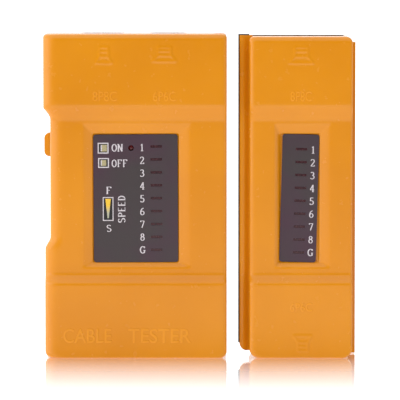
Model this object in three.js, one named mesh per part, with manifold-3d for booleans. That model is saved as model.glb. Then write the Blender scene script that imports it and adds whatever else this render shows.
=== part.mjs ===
// Network cable tester: a wide main unit and a narrow remote unit, stood side by side.
// Millimetres, +Z up. The fronts face -Y. The origin is on the floor, midway between the two
// outer sides and midway between front and back.
import * as THREE from 'three';
import { mergeVertices } from 'three/addons/utils/BufferGeometryUtils.js';
import Module from 'manifold-3d';

const wasm = await Module();
wasm.setup();

// ---- Driving dimensions -------------------------------------------------------------------
const HALF_DEPTH = 14;            // each unit is 28 thick, split into a front cover and a back shell
const PARTING_GAP = 0.2;          // seam between front cover and back shell
const WALL = 2;
const GAP = 0.3;                  // working clearance between neighbouring pieces
const HEIGHT = 101.8;             // top face of the main unit
const REMOTE_HEIGHT = 101.0;

const MAIN = { left: -49.2, waist: -47.1, foot: -48.7, right: 8.4 };
const REMOTE = { left: 15.5, right: 47.8, flange: 49.2 };
const UPPER_RAMP = { low: 75.0, high: 79.1 };
const LOWER_RAMP = { low: 23.7, high: 25.9 };
const WAIST_DROP = 2.2;           // how far the waist lies behind the two end blocks
const FOOT_TOP = 33;              // the foot's full inner width reaches up to here
const FRONT_EDGE = 3.0;           // rounding of the long front edges
const END_EDGE = 1.2;             // rounding of the short edges
const FOOT_CORNER = 2.0;          // the main unit's lower corners, seen from the front
const HEAD_CORNER = 1.1;          // its upper corners
const REMOTE_CORNERS = [3.0, 3.0, 1.9, 1.2];

const RECESS_DEPTH = 1.8;
const LABEL_THICK = 0.5;
const LABEL_AIR = 0.2;            // adhesive layer behind the label
const LOWER_JACK_MOUTH = 0.2;     // the lower jack's mouth stays just clear of the floor
// A recess at the surface, and how far its left, right, lower and upper walls slope inwards.
const MAIN_RECESS = { x: [-36.7, -3.4], z: [28.5, 73.7], slopes: [2.7, 2.7, 1.5, 2.9] };
const REMOTE_RECESS = { x: [23.6, 40.7], z: [28.5, 73.5], slopes: [1.3, 3.0, 1.5, 2.8] };
const MAIN_LABEL = { x: -20.2, z: 50.15, width: 26.5, height: 40.2, turn: -0.3 };
const REMOTE_LABEL = { x: 31.2, z: 50.2, width: 11.5, height: 40.2, turn: 1.5 };

const LED_COUNT = 9;              // eight wires and the ground
const LED_PITCH = 4.07;
const MAIN_LED_TOP = 66.45;
const REMOTE_LED_TOP = 65.65;
const LED_HEAD = { width: 4.9, height: 1.9 };
const LED_WINDOW = { width: 3.6, height: 0.8 };
const MAIN_LED_X = -13.7;
const REMOTE_LED_X = 31.5;
const POWER_LED = { x: -21.6, z: 66.0, radius: 1.5, window: 0.9 };

const BOARD = { front: -4.7, back: -3.1 };
const BOARD_BACK = BOARD.back + GAP;

const JACK_8 = { name: '8p', width: 15.4, mouth: 11.7, latch: 6.1, pins: 8, pitch: 1.02 };
const JACK_6 = { name: '6p', width: 13.2, mouth: 9.65, latch: 6.0, pins: 6, pitch: 1.02 };
const JACK = { back: 10.2, bodyLength: 15.5, noseFront: 0.4, noseBack: 9.6, cavityDepth: 15, skin: 0.5 };
const JACK_CAVITY = { front: 1.0, back: 7.9, latchBack: 9.1 };
const MAIN_JACK_8_X = -30.8;
const MAIN_JACK_6_X = -10.1;
const REMOTE_JACK_X = 31.7;

const CHANNEL = { floor: 4.7, front: -9.3, back: -4.7, bottom: 1.7, wall: 1.0, backWall: 0.8 };
// The docking rail, seen from above: a blunt nose, a crest and a hollow beside the unit's body.
const RAIL = { tip: 12.06, nose: -8.3, crest: [12.5, 13.2], front: -9.1, hollow: [15.0, -6.6], back: -4.9 };
const RAIL_Z = [2.0, REMOTE_HEIGHT];
const RAIL_CORNER = 2.4;          // its lower corner, seen from the front
const FLANGE = { z: [0.3, 99.0], depth: 6 };

const SCREW = { headRadius: 2.2, headHeight: 1.5, shaftRadius: 1.2, length: 15, slot: 0.7, slotReach: 1.4 };
const BOSS = { radius: 2.6, bore: 1.5 };
const MAIN_SCREWS = [[-43.4, 95.4], [0.6, 95.4], [-42.2, 35.6], [0.6, 35.6]];
const REMOTE_SCREWS = [[19.6, 95.2], [43.7, 95.2], [19.6, 6.2], [43.7, 6.2]];

const BUTTON = { z: 66.7, y: 0.9, size: 7.4, flange: 8.8, stem: 2.4, tip: -49.2, stemEnd: -38.5 };
const SWITCH = { x: [-41.8, -32.0], size: 7.1, bore: 3.2, boreEnd: -36.6 };
const WHEEL = { x: -39.0, z: 47.0, radius: 8.4, front: 0.5, back: 3.3, teeth: 40, tooth: 0.4, bore: 1.7 };

const DOOR = { x: [-45.6, 5.6], z: [4.0, 32.4], inner: 12.5, pinY: 12.8, pinZ: 5.2, pinRadius: 0.6 };
const BATTERY = { x: [-46.2, 0.2], y: [-6.2, 11.3], z: [4.3, 30.8] };
const SNAP = { x: [0.5, 5.0], y: [-3.65, 8.75], z: [5.0, 30.0] };
const TERMINAL = { spacing: 12.7, radius: 2.9, height: 2.6 };
const LEAD_RADIUS = 0.6;

// ---- Materials ----------------------------------------------------------------------------
const finish = (color, roughness, metalness = 0) =>
  new THREE.MeshStandardMaterial({ color, roughness, metalness });
const MATERIAL = {
  shell: finish(0xee9c2c, 0.42),
  label: finish(0x4c3f44, 0.35),
  board: finish(0x2f6b3a, 0.5),
  black: finish(0x17181a, 0.5),
  gold: finish(0xd8b25a, 0.3, 0.9),
  led: finish(0x7a1b1e, 0.25),
  steel: finish(0xb9bcc0, 0.35, 0.9),
  battery: finish(0x9aa0a6, 0.35, 0.6),
  redWire: finish(0xb3201c, 0.5),
  blackWire: finish(0x1c1c1c, 0.5),
  aluminium: finish(0xbcc0c4, 0.35, 0.8),
};

// ---- Solids -------------------------------------------------------------------------------
function toSolid(geometry) {
  const bare = geometry.clone();
  bare.deleteAttribute('normal');
  bare.deleteAttribute('uv');
  const merged = mergeVertices(bare, 1e-4);
  return new wasm.Manifold(new wasm.Mesh({
    numProp: 3,
    vertProperties: new Float32Array(merged.attributes.position.array),
    triVerts: new Uint32Array(merged.index.array),
  }));
}

function toGeometry(solid) {
  const mesh = solid.getMesh();
  const geometry = new THREE.BufferGeometry();
  geometry.setAttribute('position', new THREE.BufferAttribute(mesh.vertProperties, 3));
  geometry.setIndex(new THREE.BufferAttribute(mesh.triVerts, 1));
  geometry.computeVertexNormals();
  return geometry;
}

const join = (first, ...others) => others.reduce((solid, other) => solid.add(other), first);
const cut = (first, ...others) => others.reduce((solid, other) => solid.subtract(other), first);

function box(x, y, z) {
  const geometry = new THREE.BoxGeometry(x[1] - x[0], y[1] - y[0], z[1] - z[0]);
  return toSolid(geometry.translate((x[0] + x[1]) / 2, (y[0] + y[1]) / 2, (z[0] + z[1]) / 2));
}

// A block centred on x and z, from yFront to yBack.
function block(x, z, width, height, yFront, yBack) {
  return box([x - width / 2, x + width / 2], [yFront, yBack], [z - height / 2, z + height / 2]);
}

function rodAlongY(x, z, radius, yFront, yBack, sides = 20) {
  const geometry = new THREE.CylinderGeometry(radius, radius, yBack - yFront, sides);
  return toSolid(geometry.translate(x, (yFront + yBack) / 2, z));
}

function rodAlongX(y, z, radius, xLow, xHigh, sides = 16) {
  const geometry = new THREE.CylinderGeometry(radius, radius, xHigh - xLow, sides);
  return toSolid(geometry.rotateZ(Math.PI / 2).translate((xLow + xHigh) / 2, y, z));
}

function extruded(shape, depth, curveSegments) {
  return new THREE.ExtrudeGeometry(shape, { depth, bevelEnabled: false, curveSegments });
}

// A shape drawn in X and Z, from yFront to yBack.
function slab(shape, yFront, yBack, curveSegments = 4) {
  const geometry = extruded(shape, yBack - yFront, curveSegments);
  return toSolid(geometry.rotateX(Math.PI / 2).translate(0, yBack, 0));
}

// A shape drawn in Y and Z, from xLow to xHigh.
function bar(shape, xLow, xHigh, curveSegments = 4) {
  const geometry = extruded(shape, xHigh - xLow, curveSegments);
  const turn = new THREE.Matrix4().set(0, 0, 1, xLow, 1, 0, 0, 0, 0, 1, 0, 0, 0, 0, 0, 1);
  return toSolid(geometry.applyMatrix4(turn));
}

// A shape drawn in X and Y, from zLow to zHigh.
function column(shape, zLow, zHigh, curveSegments = 4) {
  const geometry = extruded(shape, zHigh - zLow, curveSegments);
  return toSolid(geometry.translate(0, 0, zLow));
}

function polygon(points) {
  return new THREE.Shape(points.map(([a, b]) => new THREE.Vector2(a, b)));
}

// A rectangle with its own corner radius at each corner, in the order
// low-left, low-right, high-right, high-left.
function roundedRectangle(a, b, radii) {
  const shape = new THREE.Shape();
  const [lowLeft, lowRight, highRight, highLeft] = radii;
  shape.moveTo(a[0] + lowLeft, b[0]);
  shape.lineTo(a[1] - lowRight, b[0]);
  shape.absarc(a[1] - lowRight, b[0] + lowRight, lowRight, -Math.PI / 2, 0);
  shape.lineTo(a[1], b[1] - highRight);
  shape.absarc(a[1] - highRight, b[1] - highRight, highRight, 0, Math.PI / 2);
  shape.lineTo(a[0] + highLeft, b[1]);
  shape.absarc(a[0] + highLeft, b[1] - highLeft, highLeft, Math.PI / 2, Math.PI);
  shape.lineTo(a[0], b[0] + lowLeft);
  shape.absarc(a[0] + lowLeft, b[0] + lowLeft, lowLeft, Math.PI, Math.PI * 1.5);
  return shape;
}

// A four-sided opening with sloping walls, wide at the surface and narrow at its floor.
function slopedPocket({ x, z, slopes }, ySurface, depth) {
  const proud = depth / 2;
  const [left, right, low, high] = slopes;
  const geometry = new THREE.BoxGeometry(2, 2, 2);
  const position = geometry.attributes.position;
  for (let i = 0; i < position.count; i += 1) {
    const outer = position.getY(i) < 0;
    const reach = outer ? -proud / depth : 1;
    const px = position.getX(i) < 0 ? x[0] + left * reach : x[1] - right * reach;
    const pz = position.getZ(i) < 0 ? z[0] + low * reach : z[1] - high * reach;
    position.setXYZ(i, px, outer ? ySurface - proud : ySurface + depth, pz);
  }
  return toSolid(geometry);
}

const root = new THREE.Group();

function addPiece(name, geometry, material) {
  const mesh = new THREE.Mesh(geometry, material);
  mesh.name = name;
  root.add(mesh);
  return mesh;
}

const addSolid = (name, solid, material) => addPiece(name, toGeometry(solid), material);

// ---- Outer forms of the two units ----------------------------------------------------------
// The main unit seen from the front: a wide head, a narrower waist and a foot, with S-shaped
// steps on the left side and a straight right side.
function mainOutline() {
  const shape = new THREE.Shape();
  const { left, waist, foot, right } = MAIN;
  shape.moveTo(foot + FOOT_CORNER, 0);
  shape.lineTo(right - FOOT_CORNER, 0);
  shape.absarc(right - FOOT_CORNER, FOOT_CORNER, FOOT_CORNER, -Math.PI / 2, 0);
  shape.lineTo(right, HEIGHT - HEAD_CORNER);
  shape.absarc(right - HEAD_CORNER, HEIGHT - HEAD_CORNER, HEAD_CORNER, 0, Math.PI / 2);
  shape.lineTo(left + HEAD_CORNER, HEIGHT);
  shape.absarc(left + HEAD_CORNER, HEIGHT - HEAD_CORNER, HEAD_CORNER, Math.PI / 2, Math.PI);
  shape.lineTo(left, 78.0);
  shape.bezierCurveTo(left, 76.2, waist, 75.9, waist, 73.8);
  shape.lineTo(waist, 37.9);
  shape.bezierCurveTo(waist, 36.0, foot, 36.2, foot, 34.1);
  shape.lineTo(foot, FOOT_CORNER);
  shape.absarc(foot + FOOT_CORNER, FOOT_CORNER, FOOT_CORNER, Math.PI, Math.PI * 1.5);
  return shape;
}

const remoteOutline = () =>
  roundedRectangle([REMOTE.left, REMOTE.right], [0, REMOTE_HEIGHT], REMOTE_CORNERS);

// Side view of a front cover: two thick end blocks with ramps down to the waist.
function frontProfile(height) {
  const front = -HALF_DEPTH;
  const waist = front + WAIST_DROP;
  const seam = -PARTING_GAP / 2;
  return polygon([
    [seam, 0], [seam, height], [front + END_EDGE, height], [front, height - END_EDGE],
    [front, UPPER_RAMP.high], [waist, UPPER_RAMP.low], [waist, LOWER_RAMP.high],
    [front, LOWER_RAMP.low], [front, END_EDGE], [front + END_EDGE, 0],
  ]);
}

// Plan of a unit, with its long front and back edges rounded.
function plan(left, right, leftEdge, rightEdge) {
  return roundedRectangle([left, right], [-HALF_DEPTH, HALF_DEPTH], [leftEdge, rightEdge, 2, 2]);
}

function frontBlank(outline, left, right, height, edges) {
  const side = bar(frontProfile(height), left - 1, right + 1);
  const ends = column(plan(left, right, ...edges), -1, height + 1, 3);
  return slab(outline, -HALF_DEPTH, -PARTING_GAP / 2, 6).intersect(side).intersect(ends);
}

function backBlank(outline, left, right, height, edges) {
  const ends = column(plan(left, right, ...edges), -1, height + 1, 3);
  return slab(outline, PARTING_GAP / 2, HALF_DEPTH, 6).intersect(ends);
}

// Hollow of a front cover, deeper behind the two end blocks than behind the label.
function frontHollow(left, waistLeft, footLeft, right, height) {
  const behindLabel = -HALF_DEPTH + WAIST_DROP + RECESS_DEPTH + 1.6;
  return join(
    box([left + WALL, right - WALL], [-HALF_DEPTH + WALL, 1], [UPPER_RAMP.high, height - WALL]),
    box([waistLeft + WALL, right - WALL], [behindLabel, 1], [LOWER_RAMP.low - 1, UPPER_RAMP.high + 1]),
    box([footLeft + WALL, right - WALL], [behindLabel, 1], [LOWER_RAMP.low - 1, FOOT_TOP]),
    box([footLeft + WALL, right - WALL], [-HALF_DEPTH + WALL, 1], [WALL, LOWER_RAMP.low]),
  );
}

const bosses = (places, yFront, yBack) =>
  places.map(([x, z]) => rodAlongY(x, z, BOSS.radius, yFront, yBack, 16));

// A front cover's bosses start in its front wall, which lies further back at the waist.
function frontBosses(places) {
  const isWaist = (z) => z > LOWER_RAMP.low && z < UPPER_RAMP.high;
  const frontOf = (z) => -HALF_DEPTH + WALL - 0.5 + (isWaist(z) ? WAIST_DROP + 0.6 : 0);
  return places.flatMap((place) => bosses([place], frontOf(place[1]), -PARTING_GAP));
}

const bores = (places, radius, yFront, yBack) =>
  places.map(([x, z]) => rodAlongY(x, z, radius, yFront, yBack, 16));

const ledHeights = (top) => Array.from({ length: LED_COUNT }, (_, i) => top - i * LED_PITCH);

function ledSlots(x, top) {
  return ledHeights(top).map((z) => block(x, z, LED_HEAD.width + 0.6, LED_HEAD.height + 0.6, -HALF_DEPTH, 0));
}

// ---- Housings -------------------------------------------------------------------------------
const labelFloor = -HALF_DEPTH + WAIST_DROP + RECESS_DEPTH;

function buildMainFrontCover() {
  const { left, waist, foot, right } = MAIN;
  const shellHeight = HEIGHT;
  const blank = frontBlank(mainOutline(), left, right, shellHeight, [FRONT_EDGE, END_EDGE]);
  const hollow = frontHollow(left, waist, foot, right, shellHeight);
  const channelWall = box(
    [CHANNEL.floor - CHANNEL.wall, right - 1],
    [CHANNEL.front - CHANNEL.wall, CHANNEL.back + CHANNEL.backWall], [1, shellHeight - 1]);
  const channel = box([CHANNEL.floor, right + 1], [CHANNEL.front, CHANNEL.back],
    [CHANNEL.bottom, shellHeight + 1]);
  const shell = join(cut(blank, hollow), channelWall, ...frontBosses(MAIN_SCREWS));
  const half = BUTTON.size / 2 + GAP;
  return cut(shell, channel,
    slopedPocket(MAIN_RECESS, -HALF_DEPTH + WAIST_DROP, RECESS_DEPTH),
    ...ledSlots(MAIN_LED_X, MAIN_LED_TOP),
    rodAlongY(POWER_LED.x, POWER_LED.z, POWER_LED.radius + GAP, -HALF_DEPTH, 0),
    ...bores(MAIN_SCREWS, BOSS.bore, -7.5, 1),
    box([left - 1, waist + WALL + 1],
      [BUTTON.y - half, BUTTON.y + half], [BUTTON.z - half, BUTTON.z + half]));
}

// The rail on the remote unit's left side, running into the body up to bodyX.
function dockingRail(bodyX) {
  const section = column(polygon([
    [RAIL.tip, RAIL.back], [RAIL.tip, RAIL.nose], [RAIL.crest[0], RAIL.front], [RAIL.crest[1], RAIL.front],
    RAIL.hollow, [bodyX, RAIL.hollow[1]], [bodyX, RAIL.back],
  ]), ...RAIL_Z);
  const outline = roundedRectangle([RAIL.tip, bodyX], RAIL_Z, [RAIL_CORNER, 0, 0, 0]);
  return section.intersect(slab(outline, RAIL.front - 1, RAIL.back + 1, 6));
}

function buildRemoteFrontCover() {
  const { left, right } = REMOTE;
  const blank = frontBlank(remoteOutline(), left, right, REMOTE_HEIGHT, [FRONT_EDGE, FRONT_EDGE]);
  const hollow = frontHollow(left, left, left, right, REMOTE_HEIGHT);
  const shell = join(cut(blank, hollow), dockingRail(left + 1), ...frontBosses(REMOTE_SCREWS));
  return cut(shell,
    slopedPocket(REMOTE_RECESS, -HALF_DEPTH + WAIST_DROP, RECESS_DEPTH),
    ...ledSlots(REMOTE_LED_X, REMOTE_LED_TOP),
    ...bores(REMOTE_SCREWS, BOSS.bore, -7.5, 1));
}

// Notch for a jack's mouth in an end wall, open to the seam between the two halves.
function jackNotch(x, jack, zLow, zHigh) {
  const half = jack.mouth / 2 + JACK.skin + GAP;
  return box([x - half, x + half], [0, JACK.noseBack + GAP], [zLow, zHigh]);
}

function screwHoles(places) {
  const headFloor = HALF_DEPTH - SCREW.headHeight - 1;
  return [
    ...bores(places, BOSS.bore, -1, HALF_DEPTH + 1),
    ...bores(places, SCREW.headRadius + GAP, headFloor, HALF_DEPTH + 1),
  ];
}

function buildMainBackShell() {
  const { left, waist, foot, right } = MAIN;
  const blank = backBlank(mainOutline(), left, right, HEIGHT, [FRONT_EDGE, END_EDGE]);
  const hollow = join(
    box([left + WALL, right - WALL], [-1, HALF_DEPTH - WALL], [UPPER_RAMP.high, HEIGHT - WALL]),
    box([waist + WALL, right - WALL], [-1, HALF_DEPTH - WALL], [30, UPPER_RAMP.high + 1]),
    box([foot + WALL, right - WALL], [-1, HALF_DEPTH - WALL], [WALL, FOOT_TOP]));
  const doorway = box([DOOR.x[0] - GAP, DOOR.x[1] + GAP], [0, HALF_DEPTH + 1],
    [DOOR.z[0] - GAP, DOOR.z[1] + GAP]);
  const shell = join(cut(blank, hollow), ...bosses(MAIN_SCREWS, PARTING_GAP, HALF_DEPTH - 1));
  const half = BUTTON.size / 2 + GAP;
  const wheelReach = Math.sqrt(WHEEL.radius ** 2 - (waist + WALL - WHEEL.x) ** 2) + GAP;
  return cut(shell, doorway,
    rodAlongX(DOOR.pinY, DOOR.pinZ, DOOR.pinRadius + GAP, DOOR.x[0] - 1.8, DOOR.x[1] + 1.8),
    box([left - 1, waist + WALL + 1], [-1, BUTTON.y + half], [BUTTON.z - half, BUTTON.z + half]),
    box([left - 1, waist + WALL + 1], [-1, WHEEL.back + GAP], [WHEEL.z - wheelReach, WHEEL.z + wheelReach]),
    jackNotch(MAIN_JACK_8_X, JACK_8, HEIGHT - WALL - 1, HEIGHT + 1),
    jackNotch(MAIN_JACK_6_X, JACK_6, HEIGHT - WALL - 1, HEIGHT + 1),
    ...screwHoles(MAIN_SCREWS));
}

function buildRemoteBackShell() {
  const { left, right, flange } = REMOTE;
  const blank = join(
    backBlank(remoteOutline(), left, right, REMOTE_HEIGHT, [FRONT_EDGE, FRONT_EDGE]),
    box([right - 1, flange], [PARTING_GAP / 2, FLANGE.depth], FLANGE.z));
  const hollow = box([left + WALL, right - WALL], [-1, HALF_DEPTH - WALL], [WALL, REMOTE_HEIGHT - WALL]);
  const shell = join(cut(blank, hollow), ...bosses(REMOTE_SCREWS, PARTING_GAP, HALF_DEPTH - 1));
  return cut(shell,
    jackNotch(REMOTE_JACK_X, JACK_8, REMOTE_HEIGHT - WALL - 1, REMOTE_HEIGHT + 1),
    jackNotch(REMOTE_JACK_X, JACK_6, -1, WALL + 1),
    ...screwHoles(REMOTE_SCREWS));
}

// The battery door: a plate with a rolled lower edge on two hinge pins, and a catch at its top.
function buildBatteryDoor() {
  const rollRadius = HALF_DEPTH - DOOR.pinY;
  const shape = new THREE.Shape();
  shape.moveTo(DOOR.inner, DOOR.z[1]);
  shape.lineTo(DOOR.inner, DOOR.pinZ);
  shape.lineTo(DOOR.inner, DOOR.z[0] + 0.05);
  shape.absarc(DOOR.pinY, DOOR.pinZ, rollRadius, -Math.PI / 2, 0);
  shape.lineTo(HALF_DEPTH, DOOR.z[1]);
  const plate = bar(shape, ...DOOR.x, 5);
  const pins = rodAlongX(DOOR.pinY, DOOR.pinZ, DOOR.pinRadius, DOOR.x[0] - 1.3, DOOR.x[1] + 1.3, 12);
  const catchTab = box([-26, -14], [9.2, DOOR.inner + 0.5], [31.2, 32.0]);
  const grooves = [25.0, 26.6, 28.2].map((z) =>
    box([-28, -12], [HALF_DEPTH - 0.5, HALF_DEPTH + 1], [z, z + 0.8]));
  return cut(join(plate, pins, catchTab), ...grooves);
}

// ---- Front labels ------------------------------------------------------------------------
function buildLabel(spec, windowX, windowTop, extraHole) {
  const x = [-spec.width / 2, spec.width / 2];
  const z = [-spec.height / 2, spec.height / 2];
  const back = labelFloor - LABEL_AIR;
  const sheet = slab(roundedRectangle(x, z, [0.8, 0.8, 0.8, 0.8]), back - LABEL_THICK, back, 3);
  const windows = ledHeights(windowTop).map((height) =>
    block(windowX, height - spec.z, LED_WINDOW.width, LED_WINDOW.height, -HALF_DEPTH, 0));
  return cut(sheet, ...windows, ...extraHole);
}

function placeLabel(name, spec, windowX, windowTop, extraHole = []) {
  const mesh = addSolid(name, buildLabel(spec, windowX, windowTop, extraHole), MATERIAL.label);
  mesh.position.set(spec.x, 0, spec.z);
  mesh.rotation.y = THREE.MathUtils.degToRad(spec.turn);
}

// ---- Electrical pieces -------------------------------------------------------------------
function buildLed(x, z) {
  const base = BOARD.front - GAP;
  return join(
    block(x, z, LED_HEAD.width, LED_HEAD.height, labelFloor + 0.1, base),
    block(x, z, LED_HEAD.width + 0.4, LED_HEAD.height + 0.4, base - 1, base));
}

// A round 3 mm lamp: flange, barrel and dome turned about its own axis.
function buildPowerLed() {
  const base = BOARD.front - GAP;
  const length = base - labelFloor - 0.1;
  const straight = length - POWER_LED.radius;
  const profile = [new THREE.Vector2(0, 0), new THREE.Vector2(POWER_LED.radius + 0.35, 0),
    new THREE.Vector2(POWER_LED.radius + 0.35, 0.8), new THREE.Vector2(POWER_LED.radius, 0.8)];
  for (let i = 0; i <= 5; i += 1) {
    const angle = i / 5 * Math.PI / 2;
    const out = i === 5 ? 0 : POWER_LED.radius * Math.cos(angle);
    profile.push(new THREE.Vector2(out, straight + POWER_LED.radius * Math.sin(angle)));
  }
  const geometry = new THREE.LatheGeometry(profile, 20).rotateX(Math.PI);
  return geometry.translate(POWER_LED.x, base, POWER_LED.z);
}

// A modular jack with its mouth up, its bottom at height 0 and its mouth at JACK length.
function jackSolid(jack) {
  const mouthTop = JACK.bodyLength + WALL + GAP;
  const half = jack.width / 2;
  const noseHalf = jack.mouth / 2 + JACK.skin;
  const cavityFloor = mouthTop - JACK.cavityDepth;
  const body = join(
    box([-half, half], [BOARD_BACK, JACK.back], [0, JACK.bodyLength]),
    box([-noseHalf, noseHalf], [JACK.noseFront, JACK.noseBack], [JACK.bodyLength - 1, mouthTop]));
  return cut(body,
    box([-jack.mouth / 2, jack.mouth / 2], [JACK_CAVITY.front, JACK_CAVITY.back],
      [cavityFloor, mouthTop + 1]),
    box([-jack.latch / 2, jack.latch / 2], [JACK_CAVITY.back - 1, JACK_CAVITY.latchBack],
      [cavityFloor + 6, mouthTop + 1]));
}

// Sprung contact wires, bent back from the mouth into the jack, on one carrier bar.
function contactSolid(jack) {
  const mouthTop = JACK.bodyLength + WALL + GAP;
  const low = mouthTop - JACK.cavityDepth + GAP;
  const front = JACK_CAVITY.front + 0.2;
  const wire = polygon([
    [front, low + 0.5], [front + 0.3, low + 0.5], [front + 0.3, mouthTop - 2.6],
    [front + 1.3, mouthTop - 8], [front + 1.6, mouthTop - 8], [front + 0.45, mouthTop - 2],
    [front, mouthTop - 2],
  ]);
  const wires = Array.from({ length: jack.pins }, (_, i) => {
    const x = (i - (jack.pins - 1) / 2) * jack.pitch;
    return bar(wire, x - 0.2, x + 0.2);
  });
  const reach = (jack.pins / 2) * jack.pitch;
  return join(box([-reach, reach], [front, front + 1.1], [low, low + 1.2]), ...wires);
}

function placeJack(unit, jack, x, mouthZ, upsideDown = false) {
  const mouthTop = JACK.bodyLength + WALL + GAP;
  const parts = [
    [`${unit}_jack_${jack.name}`, jackSolid(jack), MATERIAL.black],
    [`${unit}_contacts_${jack.name}`, contactSolid(jack), MATERIAL.gold],
  ];
  for (const [name, solid, material] of parts) {
    const geometry = toGeometry(solid);
    if (upsideDown) {
      const flipped = geometry.scale(-1, 1, -1);
      addPiece(name, flipped.translate(x, 0, mouthZ + mouthTop), material);
    } else {
      addPiece(name, geometry.translate(x, 0, mouthZ - mouthTop), material);
    }
  }
}

function buildMainBoard() {
  const wide = box([-44.6, -20], [BOARD.front, BOARD.back], [41, 90]);
  const tall = box([-38.6, -2.8], [BOARD.front, BOARD.back], [36, 98]);
  return join(wide, tall);
}

const buildRemoteBoard = () => box([22.4, 41.0], [BOARD.front, BOARD.back], [5, 97]);

// A dual-in-line chip lying on the back of the board, pins and all.
function buildChip(x, z, length, pinsPerSide) {
  const pinPitch = 2.54;
  const pins = [];
  for (let i = 0; i < pinsPerSide; i += 1) {
    const px = x + (i - (pinsPerSide - 1) / 2) * pinPitch;
    pins.push(box([px - 0.25, px + 0.25], [BOARD_BACK, BOARD_BACK + 2], [z - 3.8, z - 3.4]));
    pins.push(box([px - 0.25, px + 0.25], [BOARD_BACK + 1.6, BOARD_BACK + 2], [z - 3.8, z + 3.8]));
    pins.push(box([px - 0.25, px + 0.25], [BOARD_BACK, BOARD_BACK + 2], [z + 3.4, z + 3.8]));
  }
  return join(block(x, z, length, 6.4, BOARD_BACK + 0.5, BOARD_BACK + 3.8), ...pins);
}

function buildCapacitor() {
  return join(
    rodAlongY(-7.5, 47, 2.5, BOARD_BACK, 6.2, 20),
    rodAlongY(-7.5, 47, 2.2, 6.2 - 0.1, 6.5, 20));
}

// ---- Controls ------------------------------------------------------------------------------
function buildSwitchBody() {
  const half = SWITCH.size / 2;
  const bore = SWITCH.bore / 2;
  return cut(
    box(SWITCH.x, [BOARD_BACK, BUTTON.y + half], [BUTTON.z - half, BUTTON.z + half]),
    box([SWITCH.x[0] - 1, SWITCH.boreEnd],
      [BUTTON.y - bore, BUTTON.y + bore], [BUTTON.z - bore, BUTTON.z + bore]));
}

function buildPowerButton() {
  const half = BUTTON.size / 2;
  const rim = BUTTON.flange / 2;
  const stem = BUTTON.stem / 2;
  const innerWall = MAIN.waist + WALL;
  const capShape = roundedRectangle([BUTTON.tip, innerWall + GAP + 0.3], [BUTTON.z - half, BUTTON.z + half],
    [1.6, 0, 0, 1.6]);
  const cap = slab(capShape, BUTTON.y - half, BUTTON.y + half, 4);
  const rimPlate = box([innerWall + GAP, innerWall + GAP + 0.7], [BUTTON.y - half, BUTTON.y + rim],
    [BUTTON.z - rim, BUTTON.z + rim]);
  const stemBar = box([innerWall + GAP, BUTTON.stemEnd], [BUTTON.y - stem, BUTTON.y + stem],
    [BUTTON.z - stem, BUTTON.z + stem]);
  return join(cap, rimPlate, stemBar);
}

function buildSpeedPot() {
  return join(
    block(WHEEL.x, WHEEL.z, 9, 9, BOARD_BACK, WHEEL.front - GAP),
    rodAlongY(WHEEL.x, WHEEL.z, WHEEL.bore - GAP, WHEEL.front - 1, WHEEL.back - 0.3, 16));
}

function buildSpeedWheel() {
  const shape = new THREE.Shape();
  for (let i = 0; i < WHEEL.teeth * 2; i += 1) {
    const angle = i / WHEEL.teeth * Math.PI;
    const radius = i % 2 === 0 ? WHEEL.radius : WHEEL.radius - WHEEL.tooth;
    const x = WHEEL.x + radius * Math.cos(angle);
    const z = WHEEL.z + radius * Math.sin(angle);
    if (i === 0) shape.moveTo(x, z);
    else shape.lineTo(x, z);
  }
  return cut(slab(shape, WHEEL.front, WHEEL.back),
    rodAlongY(WHEEL.x, WHEEL.z, WHEEL.bore, WHEEL.front - 1, WHEEL.back + 1, 16));
}

// ---- Battery, its connector and leads -------------------------------------------------------
const batteryMiddleY = (BATTERY.y[0] + BATTERY.y[1]) / 2;
const batteryMiddleZ = (BATTERY.z[0] + BATTERY.z[1]) / 2;
const terminalHeights = [-1, 1].map((side) => batteryMiddleZ + side * TERMINAL.spacing / 2);

function buildBattery() {
  const section = roundedRectangle(BATTERY.y, BATTERY.z, [2, 2, 2, 2]);
  const studs = terminalHeights.map((z, i) =>
    rodAlongX(batteryMiddleY, z, TERMINAL.radius, BATTERY.x[1] - 1, BATTERY.x[1] + TERMINAL.height,
      i === 0 ? 16 : 6));
  return join(bar(section, ...BATTERY.x, 3), ...studs);
}

function buildSnapConnector() {
  const section = roundedRectangle(SNAP.y, SNAP.z, [3, 3, 3, 3]);
  const sockets = terminalHeights.map((z) =>
    rodAlongX(batteryMiddleY, z, TERMINAL.radius + 0.4, SNAP.x[0] - 1, BATTERY.x[1] + TERMINAL.height + GAP));
  return cut(bar(section, ...SNAP.x, 3), ...sockets);
}

function buildLead(points) {
  const path = new THREE.CatmullRomCurve3(points.map((p) => new THREE.Vector3(...p)));
  const section = new THREE.Shape().absarc(0, 0, LEAD_RADIUS, 0, Math.PI * 2);
  return new THREE.ExtrudeGeometry(section,
    { steps: 18, curveSegments: 4, bevelEnabled: false, extrudePath: path });
}

// ---- Fasteners -----------------------------------------------------------------------------
// A pan-head screw with a cross recess, driven in from the back.
function buildScrew(x, z) {
  const headFloor = HALF_DEPTH - SCREW.headHeight - 1 + GAP;
  const headTop = headFloor + SCREW.headHeight;
  const tip = headFloor - SCREW.length;
  const profile = [[0, tip], [0.5, tip], [SCREW.shaftRadius, tip + 1.4], [SCREW.shaftRadius, headFloor],
    [SCREW.headRadius, headFloor], [SCREW.headRadius, headTop - 0.6],
    [SCREW.headRadius - 0.7, headTop], [0, headTop]];
  const turned = new THREE.LatheGeometry(profile.map(([r, h]) => new THREE.Vector2(r, h)), 16);
  const screw = toSolid(turned.translate(x, 0, z));
  return cut(screw,
    block(x, z, SCREW.slotReach * 2, SCREW.slot, headTop - 0.8, headTop + 1),
    block(x, z, SCREW.slot, SCREW.slotReach * 2, headTop - 0.8, headTop + 1));
}

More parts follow.
